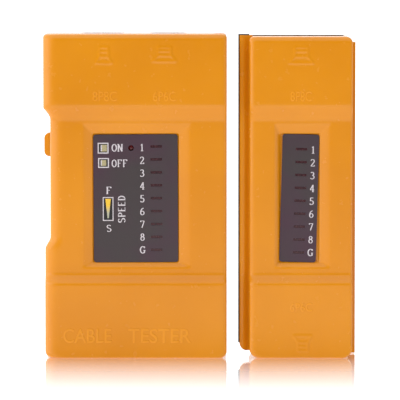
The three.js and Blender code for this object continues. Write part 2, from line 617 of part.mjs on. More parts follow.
// ---- Assembly --------------------------------------------------------------------------------
addSolid('master_front_cover', buildMainFrontCover(), MATERIAL.shell);
addSolid('master_back_shell', buildMainBackShell(), MATERIAL.shell);
addSolid('battery_door', buildBatteryDoor(), MATERIAL.shell);
const powerWindow = rodAlongY(POWER_LED.x - MAIN_LABEL.x, POWER_LED.z - MAIN_LABEL.z, POWER_LED.window,
  -HALF_DEPTH, 0, 16);
placeLabel('master_label', MAIN_LABEL, MAIN_LED_X - MAIN_LABEL.x, MAIN_LED_TOP,
  [powerWindow]);
addSolid('master_circuit_board', buildMainBoard(), MATERIAL.board);
placeJack('master', JACK_8, MAIN_JACK_8_X, HEIGHT);
placeJack('master', JACK_6, MAIN_JACK_6_X, HEIGHT);
addPiece('power_led', buildPowerLed(), MATERIAL.led);
addSolid('power_switch_body', buildSwitchBody(), MATERIAL.black);
addSolid('power_button', buildPowerButton(), MATERIAL.shell);
addSolid('speed_potentiometer', buildSpeedPot(), MATERIAL.black);
addSolid('speed_wheel', buildSpeedWheel(), MATERIAL.black);
addSolid('counter_chip', buildChip(-19, 59, 19.4, 8), MATERIAL.black);
addSolid('timer_chip', buildChip(-22, 47, 9.4, 4), MATERIAL.black);
addSolid('capacitor', buildCapacitor(), MATERIAL.aluminium);
addSolid('battery_9v', buildBattery(), MATERIAL.battery);
addSolid('battery_snap', buildSnapConnector(), MATERIAL.black);
addPiece('lead_black', buildLead([[2.5, 0.5, 30.95], [1.2, 0.5, 31.9], [-2, 0.3, 32.1], [-5.5, -0.4, 32.6],
  [-8, -1.4, 35], [-8.5, -1.9, 38.5]]), MATERIAL.blackWire);
addPiece('lead_red', buildLead([[2.5, 4.5, 30.95], [1.2, 4.5, 31.9], [-3, 4.2, 32.2], [-8.5, 2.6, 32.8],
  [-12, 0.2, 35], [-12.5, -1.9, 38.5]]), MATERIAL.redWire);

addSolid('remote_front_cover', buildRemoteFrontCover(), MATERIAL.shell);
addSolid('remote_back_shell', buildRemoteBackShell(), MATERIAL.shell);
placeLabel('remote_label', REMOTE_LABEL, REMOTE_LED_X - REMOTE_LABEL.x, REMOTE_LED_TOP);
addSolid('remote_circuit_board', buildRemoteBoard(), MATERIAL.board);
placeJack('remote', JACK_8, REMOTE_JACK_X, REMOTE_HEIGHT);
placeJack('remote', JACK_6, REMOTE_JACK_X, LOWER_JACK_MOUTH, true);

for (let i = 0; i < LED_COUNT; i += 1) {
  const mark = i < LED_COUNT - 1 ? `${i + 1}` : 'g';
  addSolid(`master_led_${mark}`, buildLed(MAIN_LED_X, ledHeights(MAIN_LED_TOP)[i]), MATERIAL.led);
  addSolid(`remote_led_${mark}`, buildLed(REMOTE_LED_X, ledHeights(REMOTE_LED_TOP)[i]), MATERIAL.led);
}

MAIN_SCREWS.forEach(([x, z], i) => addSolid(`master_screw_${i + 1}`, buildScrew(x, z), MATERIAL.steel));
REMOTE_SCREWS.forEach(([x, z], i) => addSolid(`remote_screw_${i + 1}`, buildScrew(x, z), MATERIAL.steel));

export default root;
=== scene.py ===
"""Looks of the two-piece network cable tester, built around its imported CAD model.
Sizes are in millimetres in the row frame (+Z up, fronts facing -Y), and become metres in build_mesh()."""
import math

import bmesh
import bpy
import numpy as np
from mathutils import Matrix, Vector


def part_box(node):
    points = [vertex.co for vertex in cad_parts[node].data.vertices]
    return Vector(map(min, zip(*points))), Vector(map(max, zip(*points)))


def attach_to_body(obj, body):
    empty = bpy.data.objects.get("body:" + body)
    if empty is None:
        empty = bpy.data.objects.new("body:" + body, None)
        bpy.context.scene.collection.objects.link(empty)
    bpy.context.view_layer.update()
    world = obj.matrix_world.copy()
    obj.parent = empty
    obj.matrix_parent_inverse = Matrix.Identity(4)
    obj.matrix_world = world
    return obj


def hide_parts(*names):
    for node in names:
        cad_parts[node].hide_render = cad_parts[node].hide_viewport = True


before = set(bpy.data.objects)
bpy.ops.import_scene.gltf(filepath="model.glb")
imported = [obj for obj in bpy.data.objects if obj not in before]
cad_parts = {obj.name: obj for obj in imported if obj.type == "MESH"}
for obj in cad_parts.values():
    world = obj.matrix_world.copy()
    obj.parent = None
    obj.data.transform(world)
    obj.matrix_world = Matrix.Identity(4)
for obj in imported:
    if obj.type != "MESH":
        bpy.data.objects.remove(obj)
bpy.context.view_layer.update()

MM = 0.001
MAIN_BODY = "main_unit"
REMOTE_BODY = "remote_unit"
SEAM = 0.1                 # half the gap between a front cover and its back shell
LIP = 0.9                  # how far the back shell's rim reaches inside the front cover
WALL = 2.0                 # thickness of the housings' side walls
GRID = 0.36                # spacing of the fine front surfaces
BACK_GRID = 1.2
RELIEF = 0.10              # how far raised marks stand out of the front
INK_THICKNESS = 0.03
INK_ROOT = 0.02            # how far printing reaches into the film under it
TAU = math.tau


def node_box(name):
    """Lowest and highest corner of a CAD node, in millimetres."""
    low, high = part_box(name)
    return np.array(low) / MM, np.array(high) / MM


# ---- Materials ----------------------------------------------------------------------------------
class Tree:
    """A material's node tree, with its surface shader and object coordinates at hand."""

    def __init__(self, name, **surface):
        self.material = bpy.data.materials.new(name)
        self.material.use_nodes = True
        self.nodes = self.material.node_tree.nodes
        self.links = self.material.node_tree.links
        self.shader = self.nodes["Principled BSDF"]
        for socket, value in surface.items():
            self.shader.inputs[socket.replace("_", " ")].default_value = value
        self.coordinates = self.nodes.new("ShaderNodeTexCoord")

    def add(self, kind, **values):
        node = self.nodes.new(kind)
        for socket, value in values.items():
            node.inputs[socket.replace("_", " ")].default_value = value
        return node

    def link(self, source, output, target, socket):
        self.links.new(source.outputs[output], target.inputs[socket])

    def noise(self, scale, detail=2.0, roughness=0.5):
        node = self.add("ShaderNodeTexNoise", Scale=scale, Detail=detail, Roughness=roughness)
        self.link(self.coordinates, "Object", node, "Vector")
        return node

    def blend_colours(self, first, second, factor_node, factor_output="Fac", low=0.35, high=0.65):
        """Mixes two colours by a factor, stretched between low and high, into the base colour."""
        ramp = self.nodes.new("ShaderNodeValToRGB")
        ramp.color_ramp.elements[0].position = low
        ramp.color_ramp.elements[0].color = (*first, 1.0)
        ramp.color_ramp.elements[1].position = high
        ramp.color_ramp.elements[1].color = (*second, 1.0)
        self.link(factor_node, factor_output, ramp, "Fac")
        self.link(ramp, "Color", self.shader, "Base Color")

    def vary_roughness(self, noise, low, high):
        spread = self.add("ShaderNodeMapRange", From_Min=0.3, From_Max=0.7, To_Min=low, To_Max=high)
        self.link(noise, "Fac", spread, "Value")
        self.link(spread, "Result", self.shader, "Roughness")

    def bump(self, *layers):
        """Each layer is (noise node, output, strength, height in metres)."""
        previous = None
        for noise, output, strength, height in layers:
            bump = self.add("ShaderNodeBump", Strength=strength, Distance=height)
            self.link(noise, output, bump, "Height")
            if previous is not None:
                self.link(previous, "Normal", bump, "Normal")
            previous = bump
        self.link(previous, "Normal", self.shader, "Normal")


def orange_plastic(name, first, second):
    """Satin moulded ABS: a very fine spark-eroded grain, slow flow marks and faint colour drift."""
    tree = Tree(name, Specular_IOR_Level=0.42)
    flow = tree.noise(28.0, 3.0)
    grain = tree.noise(3600.0, 2.0, 0.6)
    tree.blend_colours(first, second, flow)
    tree.vary_roughness(tree.noise(420.0, 4.0), 0.20, 0.28)
    tree.bump((flow, "Fac", 0.04, 0.0004), (grain, "Fac", 0.035, 0.00005))
    return tree.material


def label_film():
    """Dark plum-grey printed polyester with a light orange-peel surface."""
    tree = Tree("label_film", Specular_IOR_Level=0.45)
    tint = tree.noise(70.0, 2.0)
    tree.blend_colours((0.055, 0.025, 0.040), (0.045, 0.034, 0.036), tint)
    tree.vary_roughness(tree.noise(900.0, 3.0), 0.32, 0.42)
    tree.bump((tree.noise(1500.0, 2.0), "Fac", 0.12, 0.00004))
    return tree.material


def ink(name, first, second, roughness=0.5):
    """Screen-printed ink, a little uneven in cover."""
    tree = Tree(name, Roughness=roughness)
    cover = tree.noise(2600.0, 3.0)
    tree.blend_colours(first, second, cover)
    tree.bump((cover, "Fac", 0.15, 0.00002))
    return tree.material


def wedge_ink(low_z, high_z):
    """The speed wedge: warm yellow at its fast end, fading to pale grey at its slow end."""
    tree = Tree("speed_wedge_ink", Roughness=0.5)
    split = tree.nodes.new("ShaderNodeSeparateXYZ")
    tree.link(tree.coordinates, "Object", split, "Vector")
    height = tree.add("ShaderNodeMapRange", From_Min=low_z * MM, From_Max=high_z * MM)
    tree.link(split, "Z", height, "Value")
    tree.blend_colours((0.42, 0.42, 0.30), (0.80, 0.50, 0.035), height, "Result", 0.25, 0.65)
    tree.bump((tree.noise(2600.0, 3.0), "Fac", 0.15, 0.00002))
    return tree.material


def red_lens(name, first, second):
    """Unlit tinted epoxy: dark, glossy and slightly cloudy."""
    tree = Tree(name, Specular_IOR_Level=0.4, Coat_Weight=0.2, Coat_Roughness=0.12)
    cloud = tree.noise(1400.0, 2.0)
    tree.blend_colours(first, second, cloud)
    tree.vary_roughness(cloud, 0.18, 0.30)
    return tree.material


def dull_plastic(name, first, second, roughness=(0.4, 0.6), grain=0.14):
    """Moulded nylon or PVC with a fine grain."""
    tree = Tree(name)
    drift = tree.noise(300.0, 3.0)
    tree.blend_colours(first, second, drift)
    tree.vary_roughness(tree.noise(800.0, 3.0), *roughness)
    tree.bump((tree.noise(3000.0, 2.0), "Fac", grain, 0.00005))
    return tree.material


def bare_metal(name, first, second, roughness, stretch=(1.0, 1.0, 1.0)):
    """Metal with drawn or turned marks, which stretch runs along one direction."""
    tree = Tree(name, Metallic=1.0)
    marks = tree.noise(1600.0, 4.0)
    mapping = tree.add("ShaderNodeMapping", Scale=stretch)
    tree.link(tree.coordinates, "Object", mapping, "Vector")
    tree.link(mapping, "Vector", marks, "Vector")
    tree.blend_colours(first, second, marks)
    tree.vary_roughness(marks, *roughness)
    tree.bump((marks, "Fac", 0.12, 0.00003))
    return tree.material


def circuit_laminate():
    """Green solder mask, with copper tracks just showing as lighter bands."""
    tree = Tree("circuit_laminate", Specular_IOR_Level=0.5)
    tracks = tree.add("ShaderNodeTexBrick", Scale=180.0, Mortar_Size=0.06, Bias=0.1)
    tree.link(tree.coordinates, "Object", tracks, "Vector")
    tree.blend_colours((0.012, 0.085, 0.026), (0.022, 0.16, 0.045), tracks, "Fac", 0.4, 0.6)
    tree.vary_roughness(tree.noise(500.0, 2.0), 0.25, 0.4)
    return tree.material


def battery_can(low_x, high_x):
    """A plain painted steel can: a dark body and a warm metallic band at the terminal end."""
    tree = Tree("battery_paint", Metallic=0.6)
    split = tree.nodes.new("ShaderNodeSeparateXYZ")
    tree.link(tree.coordinates, "Object", split, "Vector")
    along = tree.add("ShaderNodeMapRange", From_Min=low_x * MM, From_Max=high_x * MM)
    tree.link(split, "X", along, "Value")
    tree.blend_colours((0.035, 0.04, 0.05), (0.55, 0.28, 0.09), along, "Result", 0.62, 0.625)
    tree.vary_roughness(tree.noise(600.0, 3.0), 0.25, 0.38)
    return tree.material


ORANGE = orange_plastic("orange_abs", (0.655, 0.228, 0.0026), (0.705, 0.256, 0.0036))
# Painted light: the button's orange is a lighter, yellower copy of the housing orange, offsetting the reddish
# shade the button picks up from the side wall beside it.
LIT_BUTTON_ORANGE = orange_plastic("orange_button_painted_light", (0.70, 0.285, 0.003), (0.74, 0.31, 0.004))
# Painted highlight: the raised letters' orange is a lighter copy of the housing orange, standing in for the
# light their edges catch.
LIT_MARK_ORANGE = orange_plastic("orange_marks_painted_highlight", (0.71, 0.262, 0.006), (0.76, 0.29, 0.008))
LABEL = label_film()
WHITE_INK = ink("white_ink", (0.52, 0.48, 0.51), (0.66, 0.61, 0.64))
CREAM_INK = ink("cream_ink", (0.34, 0.29, 0.15), (0.44, 0.38, 0.21))
BLACK_INK = ink("black_ink", (0.006, 0.005, 0.006), (0.014, 0.012, 0.013), 0.4)
LAMP_WINDOW = red_lens("lamp_window_red", (0.026, 0.0055, 0.0085), (0.050, 0.009, 0.013))
LAMP_EPOXY = red_lens("lamp_epoxy_red", (0.12, 0.010, 0.012), (0.20, 0.018, 0.018))
BLACK = dull_plastic("black_nylon", (0.010, 0.010, 0.011), (0.022, 0.022, 0.024))
CHIP = dull_plastic("chip_epoxy", (0.014, 0.014, 0.015), (0.030, 0.030, 0.031), (0.5, 0.7), 0.3)
BLACK_PVC = dull_plastic("black_pvc", (0.010, 0.010, 0.011), (0.018, 0.018, 0.019), (0.35, 0.45))
RED_PVC = dull_plastic("red_pvc", (0.36, 0.012, 0.010), (0.46, 0.020, 0.016), (0.35, 0.45))
GOLD = bare_metal("contact_gold", (0.72, 0.47, 0.15), (0.85, 0.60, 0.24), (0.18, 0.30), (1.0, 1.0, 0.1))
STEEL = bare_metal("screw_zinc", (0.48, 0.48, 0.49), (0.62, 0.62, 0.63), (0.28, 0.42))
ALUMINIUM = bare_metal("capacitor_can", (0.50, 0.51, 0.53), (0.66, 0.67, 0.69), (0.25, 0.38))
LAMINATE = circuit_laminate()


# ---- Mesh helpers -------------------------------------------------------------------------------
def build_mesh(name, vertices, faces, material, sharp_degrees=32.0):
    """A mesh object from millimetre vertices, with consistent outward normals."""
    mesh = bpy.data.meshes.new(name)
    mesh.from_pydata((np.asarray(vertices) * MM).tolist(), [], faces)
    tidy = bmesh.new()
    tidy.from_mesh(mesh)
    bmesh.ops.remove_doubles(tidy, verts=tidy.verts, dist=1e-6)
    bmesh.ops.dissolve_degenerate(tidy, dist=1e-7, edges=tidy.edges)
    bmesh.ops.recalc_face_normals(tidy, faces=tidy.faces)
    tidy.to_mesh(mesh)
    tidy.free()
    mesh.materials.append(material)
    piece = bpy.data.objects.new(name, mesh)
    bpy.context.scene.collection.objects.link(piece)
    shade(piece, sharp_degrees)
    return piece


def shade(piece, sharp_degrees):
    piece.data.shade_smooth()
    piece.data.set_sharp_from_angle(angle=math.radians(sharp_degrees))


def box_parts(boxes):
    """Vertices and faces of separate boxes, each given as (x, y, z) ranges."""
    vertices = []
    faces = []
    for x, y, z in boxes:
        first = len(vertices)
        vertices += [(a, b, c) for a in x for b in y for c in z]
        sides = [(0, 1, 3, 2), (4, 6, 7, 5), (0, 4, 5, 1), (2, 3, 7, 6), (0, 2, 6, 4), (1, 5, 7, 3)]
        faces += [tuple(first + i for i in side) for side in sides]
    return vertices, faces


def rod_parts(rods, sides=28):
    """Vertices and faces of separate round rods: (centre, axis index, radius, low, high)."""
    vertices = []
    faces = []
    for centre, axis, radius, low, high in rods:
        first = len(vertices)
        across = [i for i in range(3) if i != axis]
        for level in (low, high):
            for k in range(sides):
                point = [0.0, 0.0, 0.0]
                point[axis] = level
                point[across[0]] = centre[across[0]] + radius * math.cos(TAU * k / sides)
                point[across[1]] = centre[across[1]] + radius * math.sin(TAU * k / sides)
                vertices.append(tuple(point))
        ring = [first + k for k in range(sides)]
        faces.append(tuple(ring))
        faces.append(tuple(k + sides for k in ring))
        faces += [(ring[k], ring[k - 1], ring[k - 1] + sides, ring[k] + sides) for k in range(sides)]
    return vertices, faces


def combine(*parts):
    vertices = []
    faces = []
    for some_vertices, some_faces in parts:
        first = len(vertices)
        vertices += list(some_vertices)
        faces += [tuple(first + i for i in face) for face in some_faces]
    return vertices, faces


def boolean(piece, parts, operation, overlapping=False):
    """Joins or cuts a piece with a tool of closed forms, which may overlap if said so."""
    tool = build_mesh("tool", *parts, piece.data.materials[0])
    modifier = piece.modifiers.new("shape", "BOOLEAN")
    modifier.operation = operation
    modifier.solver = "EXACT"
    modifier.use_self = overlapping
    modifier.object = tool
    graph = bpy.context.evaluated_depsgraph_get()
    result = bpy.data.meshes.new_from_object(piece.evaluated_get(graph), depsgraph=graph)
    piece.modifiers.clear()
    old = piece.data
    piece.data = result
    result.name = piece.name
    bpy.data.meshes.remove(old)
    bpy.data.objects.remove(tool)


def attach(piece, body, slot, *nodes):
    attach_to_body(piece, body)
    if nodes:
        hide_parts(*nodes)
    return piece


# ---- Housings -----------------------------------------------------------------------------------
BROW = 0.25                # how softly the label field's walls begin, as a share of their width


def smoothstep(t):
    t = np.clip(t, 0.0, 1.0)
    return t * t * (3.0 - 2.0 * t)


def rounding(distance, width, depth):
    """Drop of an elliptical edge rounding at a distance in from the edge."""
    t = np.clip(1.0 - distance / width, 0.0, 1.0)
    return depth * (1.0 - np.sqrt(1.0 - t * t))


def spread(low, high, edge, step):
    """Positions from low to high, about step apart, and crowded towards both ends over edge."""
    count = 9
    ends = edge * (1.0 - np.cos(np.linspace(0.0, math.pi / 2, count)))
    middle = np.linspace(low + edge, high - edge, max(2, round((high - low - 2 * edge) / step)))
    return np.concatenate([low + ends[:-1], middle, (high - ends[:-1])[::-1]])


def soft_profile(z, points, radius):
    """A height profile along z through points, with its bends rounded over about radius."""
    knots = np.array(points)
    shifts = np.linspace(-radius, radius, 9)
    weights = 1.0 - np.abs(shifts) / (radius * 1.3)
    values = sum(w * np.interp(z + s, knots[:, 0], knots[:, 1]) for s, w in zip(shifts, weights))
    return values / weights.sum()


def half_shell(name, rows, columns, left, right, height, side, ceiling):
    """A housing half as a closed shell. rows are z values and columns run from 0 to 1.
    left(z) and right(z) give its sides, height(x, z) how far its face stands from the seam,
    side is -1 for a front cover and 1 for a back shell, and ceiling is the depth of its hollow.
    The back shell's rim has a lip that stands inside a rebate in the front cover's rim."""
    z = rows[:, None] + 0.0 * columns[None, :]
    x = left(rows)[:, None] + (right(rows) - left(rows))[:, None] * columns[None, :]
    y = side * height(x, z)
    count_r, count_c = z.shape
    grid = np.stack([x, y, z], -1).reshape(-1, 3)
    index = np.arange(count_r * count_c).reshape(count_r, count_c)
    corners = [index[:-1, :-1], index[:-1, 1:], index[1:, 1:], index[1:, :-1]]
    faces = np.stack(corners, -1).reshape(-1, 4).tolist()
    loop = np.concatenate([index[0, :-1], index[:-1, -1], index[-1, :0:-1], index[:0:-1, 0]])
    edge = grid[loop]
    rings = []
    for t in np.linspace(0.0, 1.0, 5)[1:]:
        ring = edge.copy()
        ring[:, 1] = edge[:, 1] * (1.0 - t) + side * SEAM * t
        rings.append(ring)
    lip = WALL / 2 + side * SEAM / 2
    lip_level = -LIP if side > 0 else -LIP - SEAM
    for inset, level in ((lip, side * SEAM), (lip, lip_level), (WALL, lip_level), (WALL, side * ceiling)):
        ring = edge.copy()
        ring[:, 0] = np.clip(edge[:, 0], left(edge[:, 2]) + inset, right(edge[:, 2]) - inset)
        ring[:, 1] = level
        ring[:, 2] = np.clip(edge[:, 2], rows[0] + inset, rows[-1] - inset)
        rings.append(ring)
    vertices = np.concatenate([grid, *rings])
    size = len(loop)
    previous = loop
    first = len(grid)
    for _ in rings:
        current = np.arange(first, first + size)
        around = [previous, np.roll(previous, -1), np.roll(current, -1), current]
        faces += np.stack(around, -1).tolist()
        previous = current
        first += size
    faces.append(previous.tolist())
    return build_mesh(name, vertices, faces, ORANGE)


def ramp_points(unit):
    """The front's profile along z: foot, waist and head, joined by two ramps."""
    front = unit["front"] - RELIEF
    waist = unit["front"] - unit["drop"]
    return [(0.0, front), (unit["ramps"][0], front), (unit["ramps"][1], waist),
            (unit["ramps"][2], waist), (unit["ramps"][3], front), (unit["height"], front)]


def recess_depth(x, z, recess):
    """Depth of the sunk label field: four sloping walls with a soft brow, then a steep drop to the floor."""
    x_range, z_range, (left, right, low, high), slope_depth, floor_depth = recess
    inside_x = np.minimum((x - x_range[0]) / left, (x_range[1] - x) / right)
    inside_z = np.minimum((z - z_range[0]) / low, (z_range[1] - z) / high)
    t = np.maximum(np.minimum(inside_x, inside_z), 0.0)
    slope = (np.sqrt(t * t + BROW ** 2) - BROW) / (math.sqrt(1.0 + BROW ** 2) - BROW)
    drop = smoothstep((t - 1.0) / 0.2)
    return slope_depth * np.minimum(slope, 1.0) + (floor_depth - slope_depth) * drop


def stroke_relief(x, z, strokes, half_width):
    """1 on raised lines and 0 off them. strokes are polylines of (x, z) points."""
    nearest = np.full(x.shape, 99.0)
    for stroke in strokes:
        for (x0, z0), (x1, z1) in zip(stroke[:-1], stroke[1:]):
            length_2 = (x1 - x0) ** 2 + (z1 - z0) ** 2
            t = np.clip(((x - x0) * (x1 - x0) + (z - z0) * (z1 - z0)) / length_2, 0.0, 1.0)
            nearest = np.minimum(nearest, np.hypot(x - x0 - t * (x1 - x0), z - z0 - t * (z1 - z0)))
    return smoothstep((half_width + 0.25 - nearest) / 0.3)


def jack_outline(centre_x, centre_z, width, height, upside_down=False):
    """Outline of a modular plug: a narrow body with a bar across it, flaring out to a wide base."""
    flip = -1.0 if upside_down else 1.0
    body = [(-0.5, -0.5), (-0.27, -0.08), (-0.27, 0.5), (0.27, 0.5), (0.27, -0.08), (0.5, -0.5), (-0.5, -0.5)]
    bars = [[(-0.27, -0.08), (0.27, -0.08)], [(-0.27, 0.24), (0.27, 0.24)]]
    return [[(centre_x + a * width, centre_z + flip * b * height) for a, b in line] for line in (body, *bars)]


def front_cover(name, unit):
    """A front cover's visible skin, with its edge roundings, ramps, label field and raised icons."""
    edge = unit["edge_width"]
    total = unit["right"](unit["middle"]) - unit["left"](unit["middle"])
    columns = spread(0.0, total, edge, GRID) / total
    rows = spread(0.0, unit["height"], 2.2, GRID)
    end = unit["end_edge"]

    def height(x, z):
        face = soft_profile(z, ramp_points(unit), 0.7)
        face = face - rounding(x - unit["left"](z), edge, unit["edge_depth"])
        face = face - rounding(unit["right"](z) - x, unit["right_width"], unit["right_depth"])
        face = face - rounding(z, unit["low_edge"], unit["low_edge"]) - rounding(unit["height"] - z, end, end)
        face = face - recess_depth(x, z, unit["recess"])
        return face + RELIEF * stroke_relief(x, z, unit["icons"], 0.22)

    return half_shell(name, rows, columns, unit["left"], unit["right"], height, -1, 9.0)


def back_shell(name, unit):
    edge = 2.5
    total = unit["right"](unit["middle"]) - unit["left"](unit["middle"])
    columns = spread(0.0, total, edge, BACK_GRID) / total
    rows = spread(0.0, unit["height"], edge, BACK_GRID)

    def height(x, z):
        face = np.full(x.shape, unit["front"])
        face = face - rounding(x - unit["left"](z), edge, edge) - rounding(unit["right"](z) - x, edge, edge)
        return face - rounding(z, 1.6, 1.6) - rounding(unit["height"] - z, 1.6, 1.6)

    return half_shell(name, rows, columns, unit["left"], unit["right"], height, 1, 12.0)


front_low, front_high = node_box("master_front_cover")
remote_low, remote_high = node_box("remote_front_cover")
back_high = node_box("remote_back_shell")[1]
label_low, label_high = node_box("master_label")
remote_label_low, remote_label_high = node_box("remote_label")
button_low, button_high = node_box("power_button")
HALF_DEPTH = -front_low[1]

WAIST_IN = 2.1             # the waist's step in from the head, on the left side
FOOT_IN = 0.5
HEAD_STEP = (78.5, 74.8)   # heights between which the left side steps in from the head to the waist
FOOT_STEP = (37.9, 34.1)
FOOT_CORNER = 2.0
HEAD_CORNER = 1.1
DROP = 2.2                 # the waist lies this far behind the head and foot
RAMPS = (23.7, 25.9, 75.0, 79.1)
SLOPE_DEPTH = 1.15         # how far the label field's sloping walls go down
RECESS_DEPTH = 1.8


def main_left(z):
    z = np.asarray(z, float)
    below_head = np.clip((HEAD_STEP[0] - z) / (HEAD_STEP[0] - HEAD_STEP[1]), 0.0, 1.0)
    foot = smoothstep((FOOT_STEP[0] - z) / (FOOT_STEP[0] - FOOT_STEP[1]))
    step_in = WAIST_IN * np.sin(below_head * math.pi / 2) - (WAIST_IN - FOOT_IN) * foot
    return front_low[0] + step_in + main_corner(z)


def main_corner(z):
    radius = np.where(z < 50.0, FOOT_CORNER, HEAD_CORNER)
    near = np.minimum(z, front_high[2] - z)
    return rounding(near, radius, radius)


def main_right(z):
    return front_high[0] - main_corner(np.asarray(z, float))


REMOTE_SIDE = remote_low[0] + 3.44      # the rail stands this far out of the body's left side
REMOTE_RIGHT = remote_high[0]


def remote_left(z):
    z = np.asarray(z, float)
    radius = np.where(z < 50.0, 3.0, 1.2)
    return REMOTE_SIDE + rounding(np.minimum(z, remote_high[2] - z), radius, radius)


def remote_right(z):
    z = np.asarray(z, float)
    radius = np.where(z < 50.0, 3.0, 1.9)
    return REMOTE_RIGHT - rounding(np.minimum(z, remote_high[2] - z), radius, radius)


JACK_X = {n: float(sum(b[0] for b in node_box(n)) / 2) for n in (
    "master_jack_8p", "master_jack_6p", "remote_jack_8p", "remote_jack_6p")}
ICON_Z = 95.2
TEXT_Z = 82.4
LOWER_TEXT_Z = 16.1
LOWER_ICON_Z = 4.7

MAIN = {
    "left": main_left, "right": main_right, "height": front_high[2], "front": HALF_DEPTH, "middle": 55.0,
    "drop": DROP, "ramps": RAMPS, "edge_width": 4.4, "edge_depth": 2.6, "end_edge": 1.8, "low_edge": 0.35,
    "right_width": 1.3, "right_depth": 1.0,
    "recess": ((-37.1, -2.6), (28.3, 73.9), (3.2, 3.8, 1.6, 3.2), SLOPE_DEPTH, RECESS_DEPTH),
    "icons": jack_outline(JACK_X["master_jack_8p"] + 0.7, ICON_Z, 5.0, 4.9)
    + jack_outline(JACK_X["master_jack_6p"] - 1.0, ICON_Z + 0.3, 7.2, 4.3),
}
REMOTE = {
    "left": remote_left, "right": remote_right, "height": remote_high[2], "front": HALF_DEPTH, "middle": 50.0,
    "drop": DROP, "ramps": RAMPS, "edge_width": 2.2, "edge_depth": 1.3, "end_edge": 1.8, "low_edge": 0.35,
    "right_width": 0.7, "right_depth": 0.6,
    "recess": ((23.3, 41.2), (28.3, 73.8), (1.5, 3.4, 1.6, 3.1), SLOPE_DEPTH, RECESS_DEPTH),
    "icons": jack_outline(JACK_X["remote_jack_8p"], ICON_Z, 7.4, 5.0)
    + jack_outline(JACK_X["remote_jack_6p"] + 0.6, LOWER_ICON_Z, 5.6, 4.6, True),
}


LAMP_SLOT = (2.75, 1.25)   # half the width and height of a lamp's slot
LAMP_CUT_BACK = -5.0
POWER_LAMP_BORE = 1.8


def lamp_rows(nodes):
    """Boxes that cut the slots which a unit's lamps stand in."""
    slots = []
    for name in nodes:
        low, high = node_box(name)
        middle = (low + high) / 2
        slots.append(((middle[0] - LAMP_SLOT[0], middle[0] + LAMP_SLOT[0]), (-HALF_DEPTH, LAMP_CUT_BACK),
                      (middle[2] - LAMP_SLOT[1], middle[2] + LAMP_SLOT[1])))
    return slots


LAMP_MARKS = [str(i) for i in range(1, 9)] + ["g"]
MAIN_LAMPS = [f"master_led_{mark}" for mark in LAMP_MARKS]
REMOTE_LAMPS = [f"remote_led_{mark}" for mark in LAMP_MARKS]
CHANNEL_X = 4.7            # the docking channel runs from here to the main unit's right side
CHANNEL_Y = (-9.3, -4.7)
CHANNEL_BOTTOM = 1.7


def button_hole():
    """The opening for the push button in the left side, 0.3 clear of its 7.4 mm cap."""
    half = 4.0
    middle_y = 0.9
    middle_z = (button_low[2] + button_high[2]) / 2
    return ((front_low[0] - 1, front_low[0] + 5), (middle_y - half, middle_y + half),
            (middle_z - half, middle_z + half))


def build_main_front():
    cover = front_cover("main_front_cover", MAIN)
    side = front_high[0]
    wall = ((CHANNEL_X - 1, side - 1), (CHANNEL_Y[0] - 1, CHANNEL_Y[1] + 0.8), (1.5, front_high[2] - 1.5))
    boolean(cover, box_parts([wall]), "UNION")
    led_low, led_high = node_box("power_led")
    led = (led_low + led_high) / 2
    channel = ((CHANNEL_X, side + 1), CHANNEL_Y, (CHANNEL_BOTTOM, front_high[2] + 1))
    cutters = combine(
        box_parts([channel, button_hole(), *lamp_rows(MAIN_LAMPS)]),
        rod_parts([(led, 1, POWER_LAMP_BORE, -HALF_DEPTH, LAMP_CUT_BACK)]))
    boolean(cover, cutters, "DIFFERENCE")
    shade(cover, 32)
    return attach(cover, MAIN_BODY, "orange_shell", "master_front_cover")


RAIL_BOTTOM = 2.0
RAIL_BACK = -4.9
RAIL_CORNER = 2.4
RAIL_RISE = 0.4            # how far the rail stands above the remote unit's top
PAINTED_SHADE_WIDTH = 0.38                # width of the black strip of painted shade along the rail's outer side
PAINTED_SHADE_Y = (-8.0, -5.2)
PAINTED_SHADE_CAP = 0.3             # its thickness on the rail's top end
SEAM_SHADE_BACK = 1.2
SEAM_SHADE_RISE = 0.28     # how far the strip over the seam stands above the remote unit's top
SEAM_SHADE_END = 2.4       # and how far it stops short of the right side


def rail_parts():
    """The docking rail: a rounded crest that falls to a hollow beside the body. Its lower corner is round."""
    tip = remote_low[0] + PAINTED_SHADE_WIDTH
    section = [(tip, RAIL_BACK), (tip, -8.6), (tip + 0.1, -8.9), (tip + 0.35, -9.08), (tip + 0.8, -9.1),
               (tip + 1.2, -9.05), (tip + 1.6, -8.9), (tip + 2.0, -8.7), (tip + 2.4, -8.45),
               (tip + 2.8, -8.3), (REMOTE_SIDE + 1.0, -8.2), (REMOTE_SIDE + 1.0, RAIL_BACK)]
    top = remote_high[2] + RAIL_RISE
    levels = [RAIL_BOTTOM + RAIL_CORNER * (1.0 - math.cos(a)) for a in np.linspace(0.0, math.pi / 2, 7)]
    levels += list(np.linspace(RAIL_BOTTOM + RAIL_CORNER, top - 0.3, 5)[1:]) + [top]
    vertices = []
    for z in levels:
        left = tip + float(rounding(np.array(z - RAIL_BOTTOM), RAIL_CORNER, RAIL_CORNER))
        vertices += [(max(x, left), y, z) for x, y in section]
    count = len(section)
    faces = [tuple(range(count)), tuple(len(vertices) - 1 - k for k in range(count))]
    for row in range(len(levels) - 1):
        first = row * count
        faces += [(first + k, first + (k + 1) % count, first + count + (k + 1) % count, first + count + k)
                  for k in range(count)]
    return vertices, faces


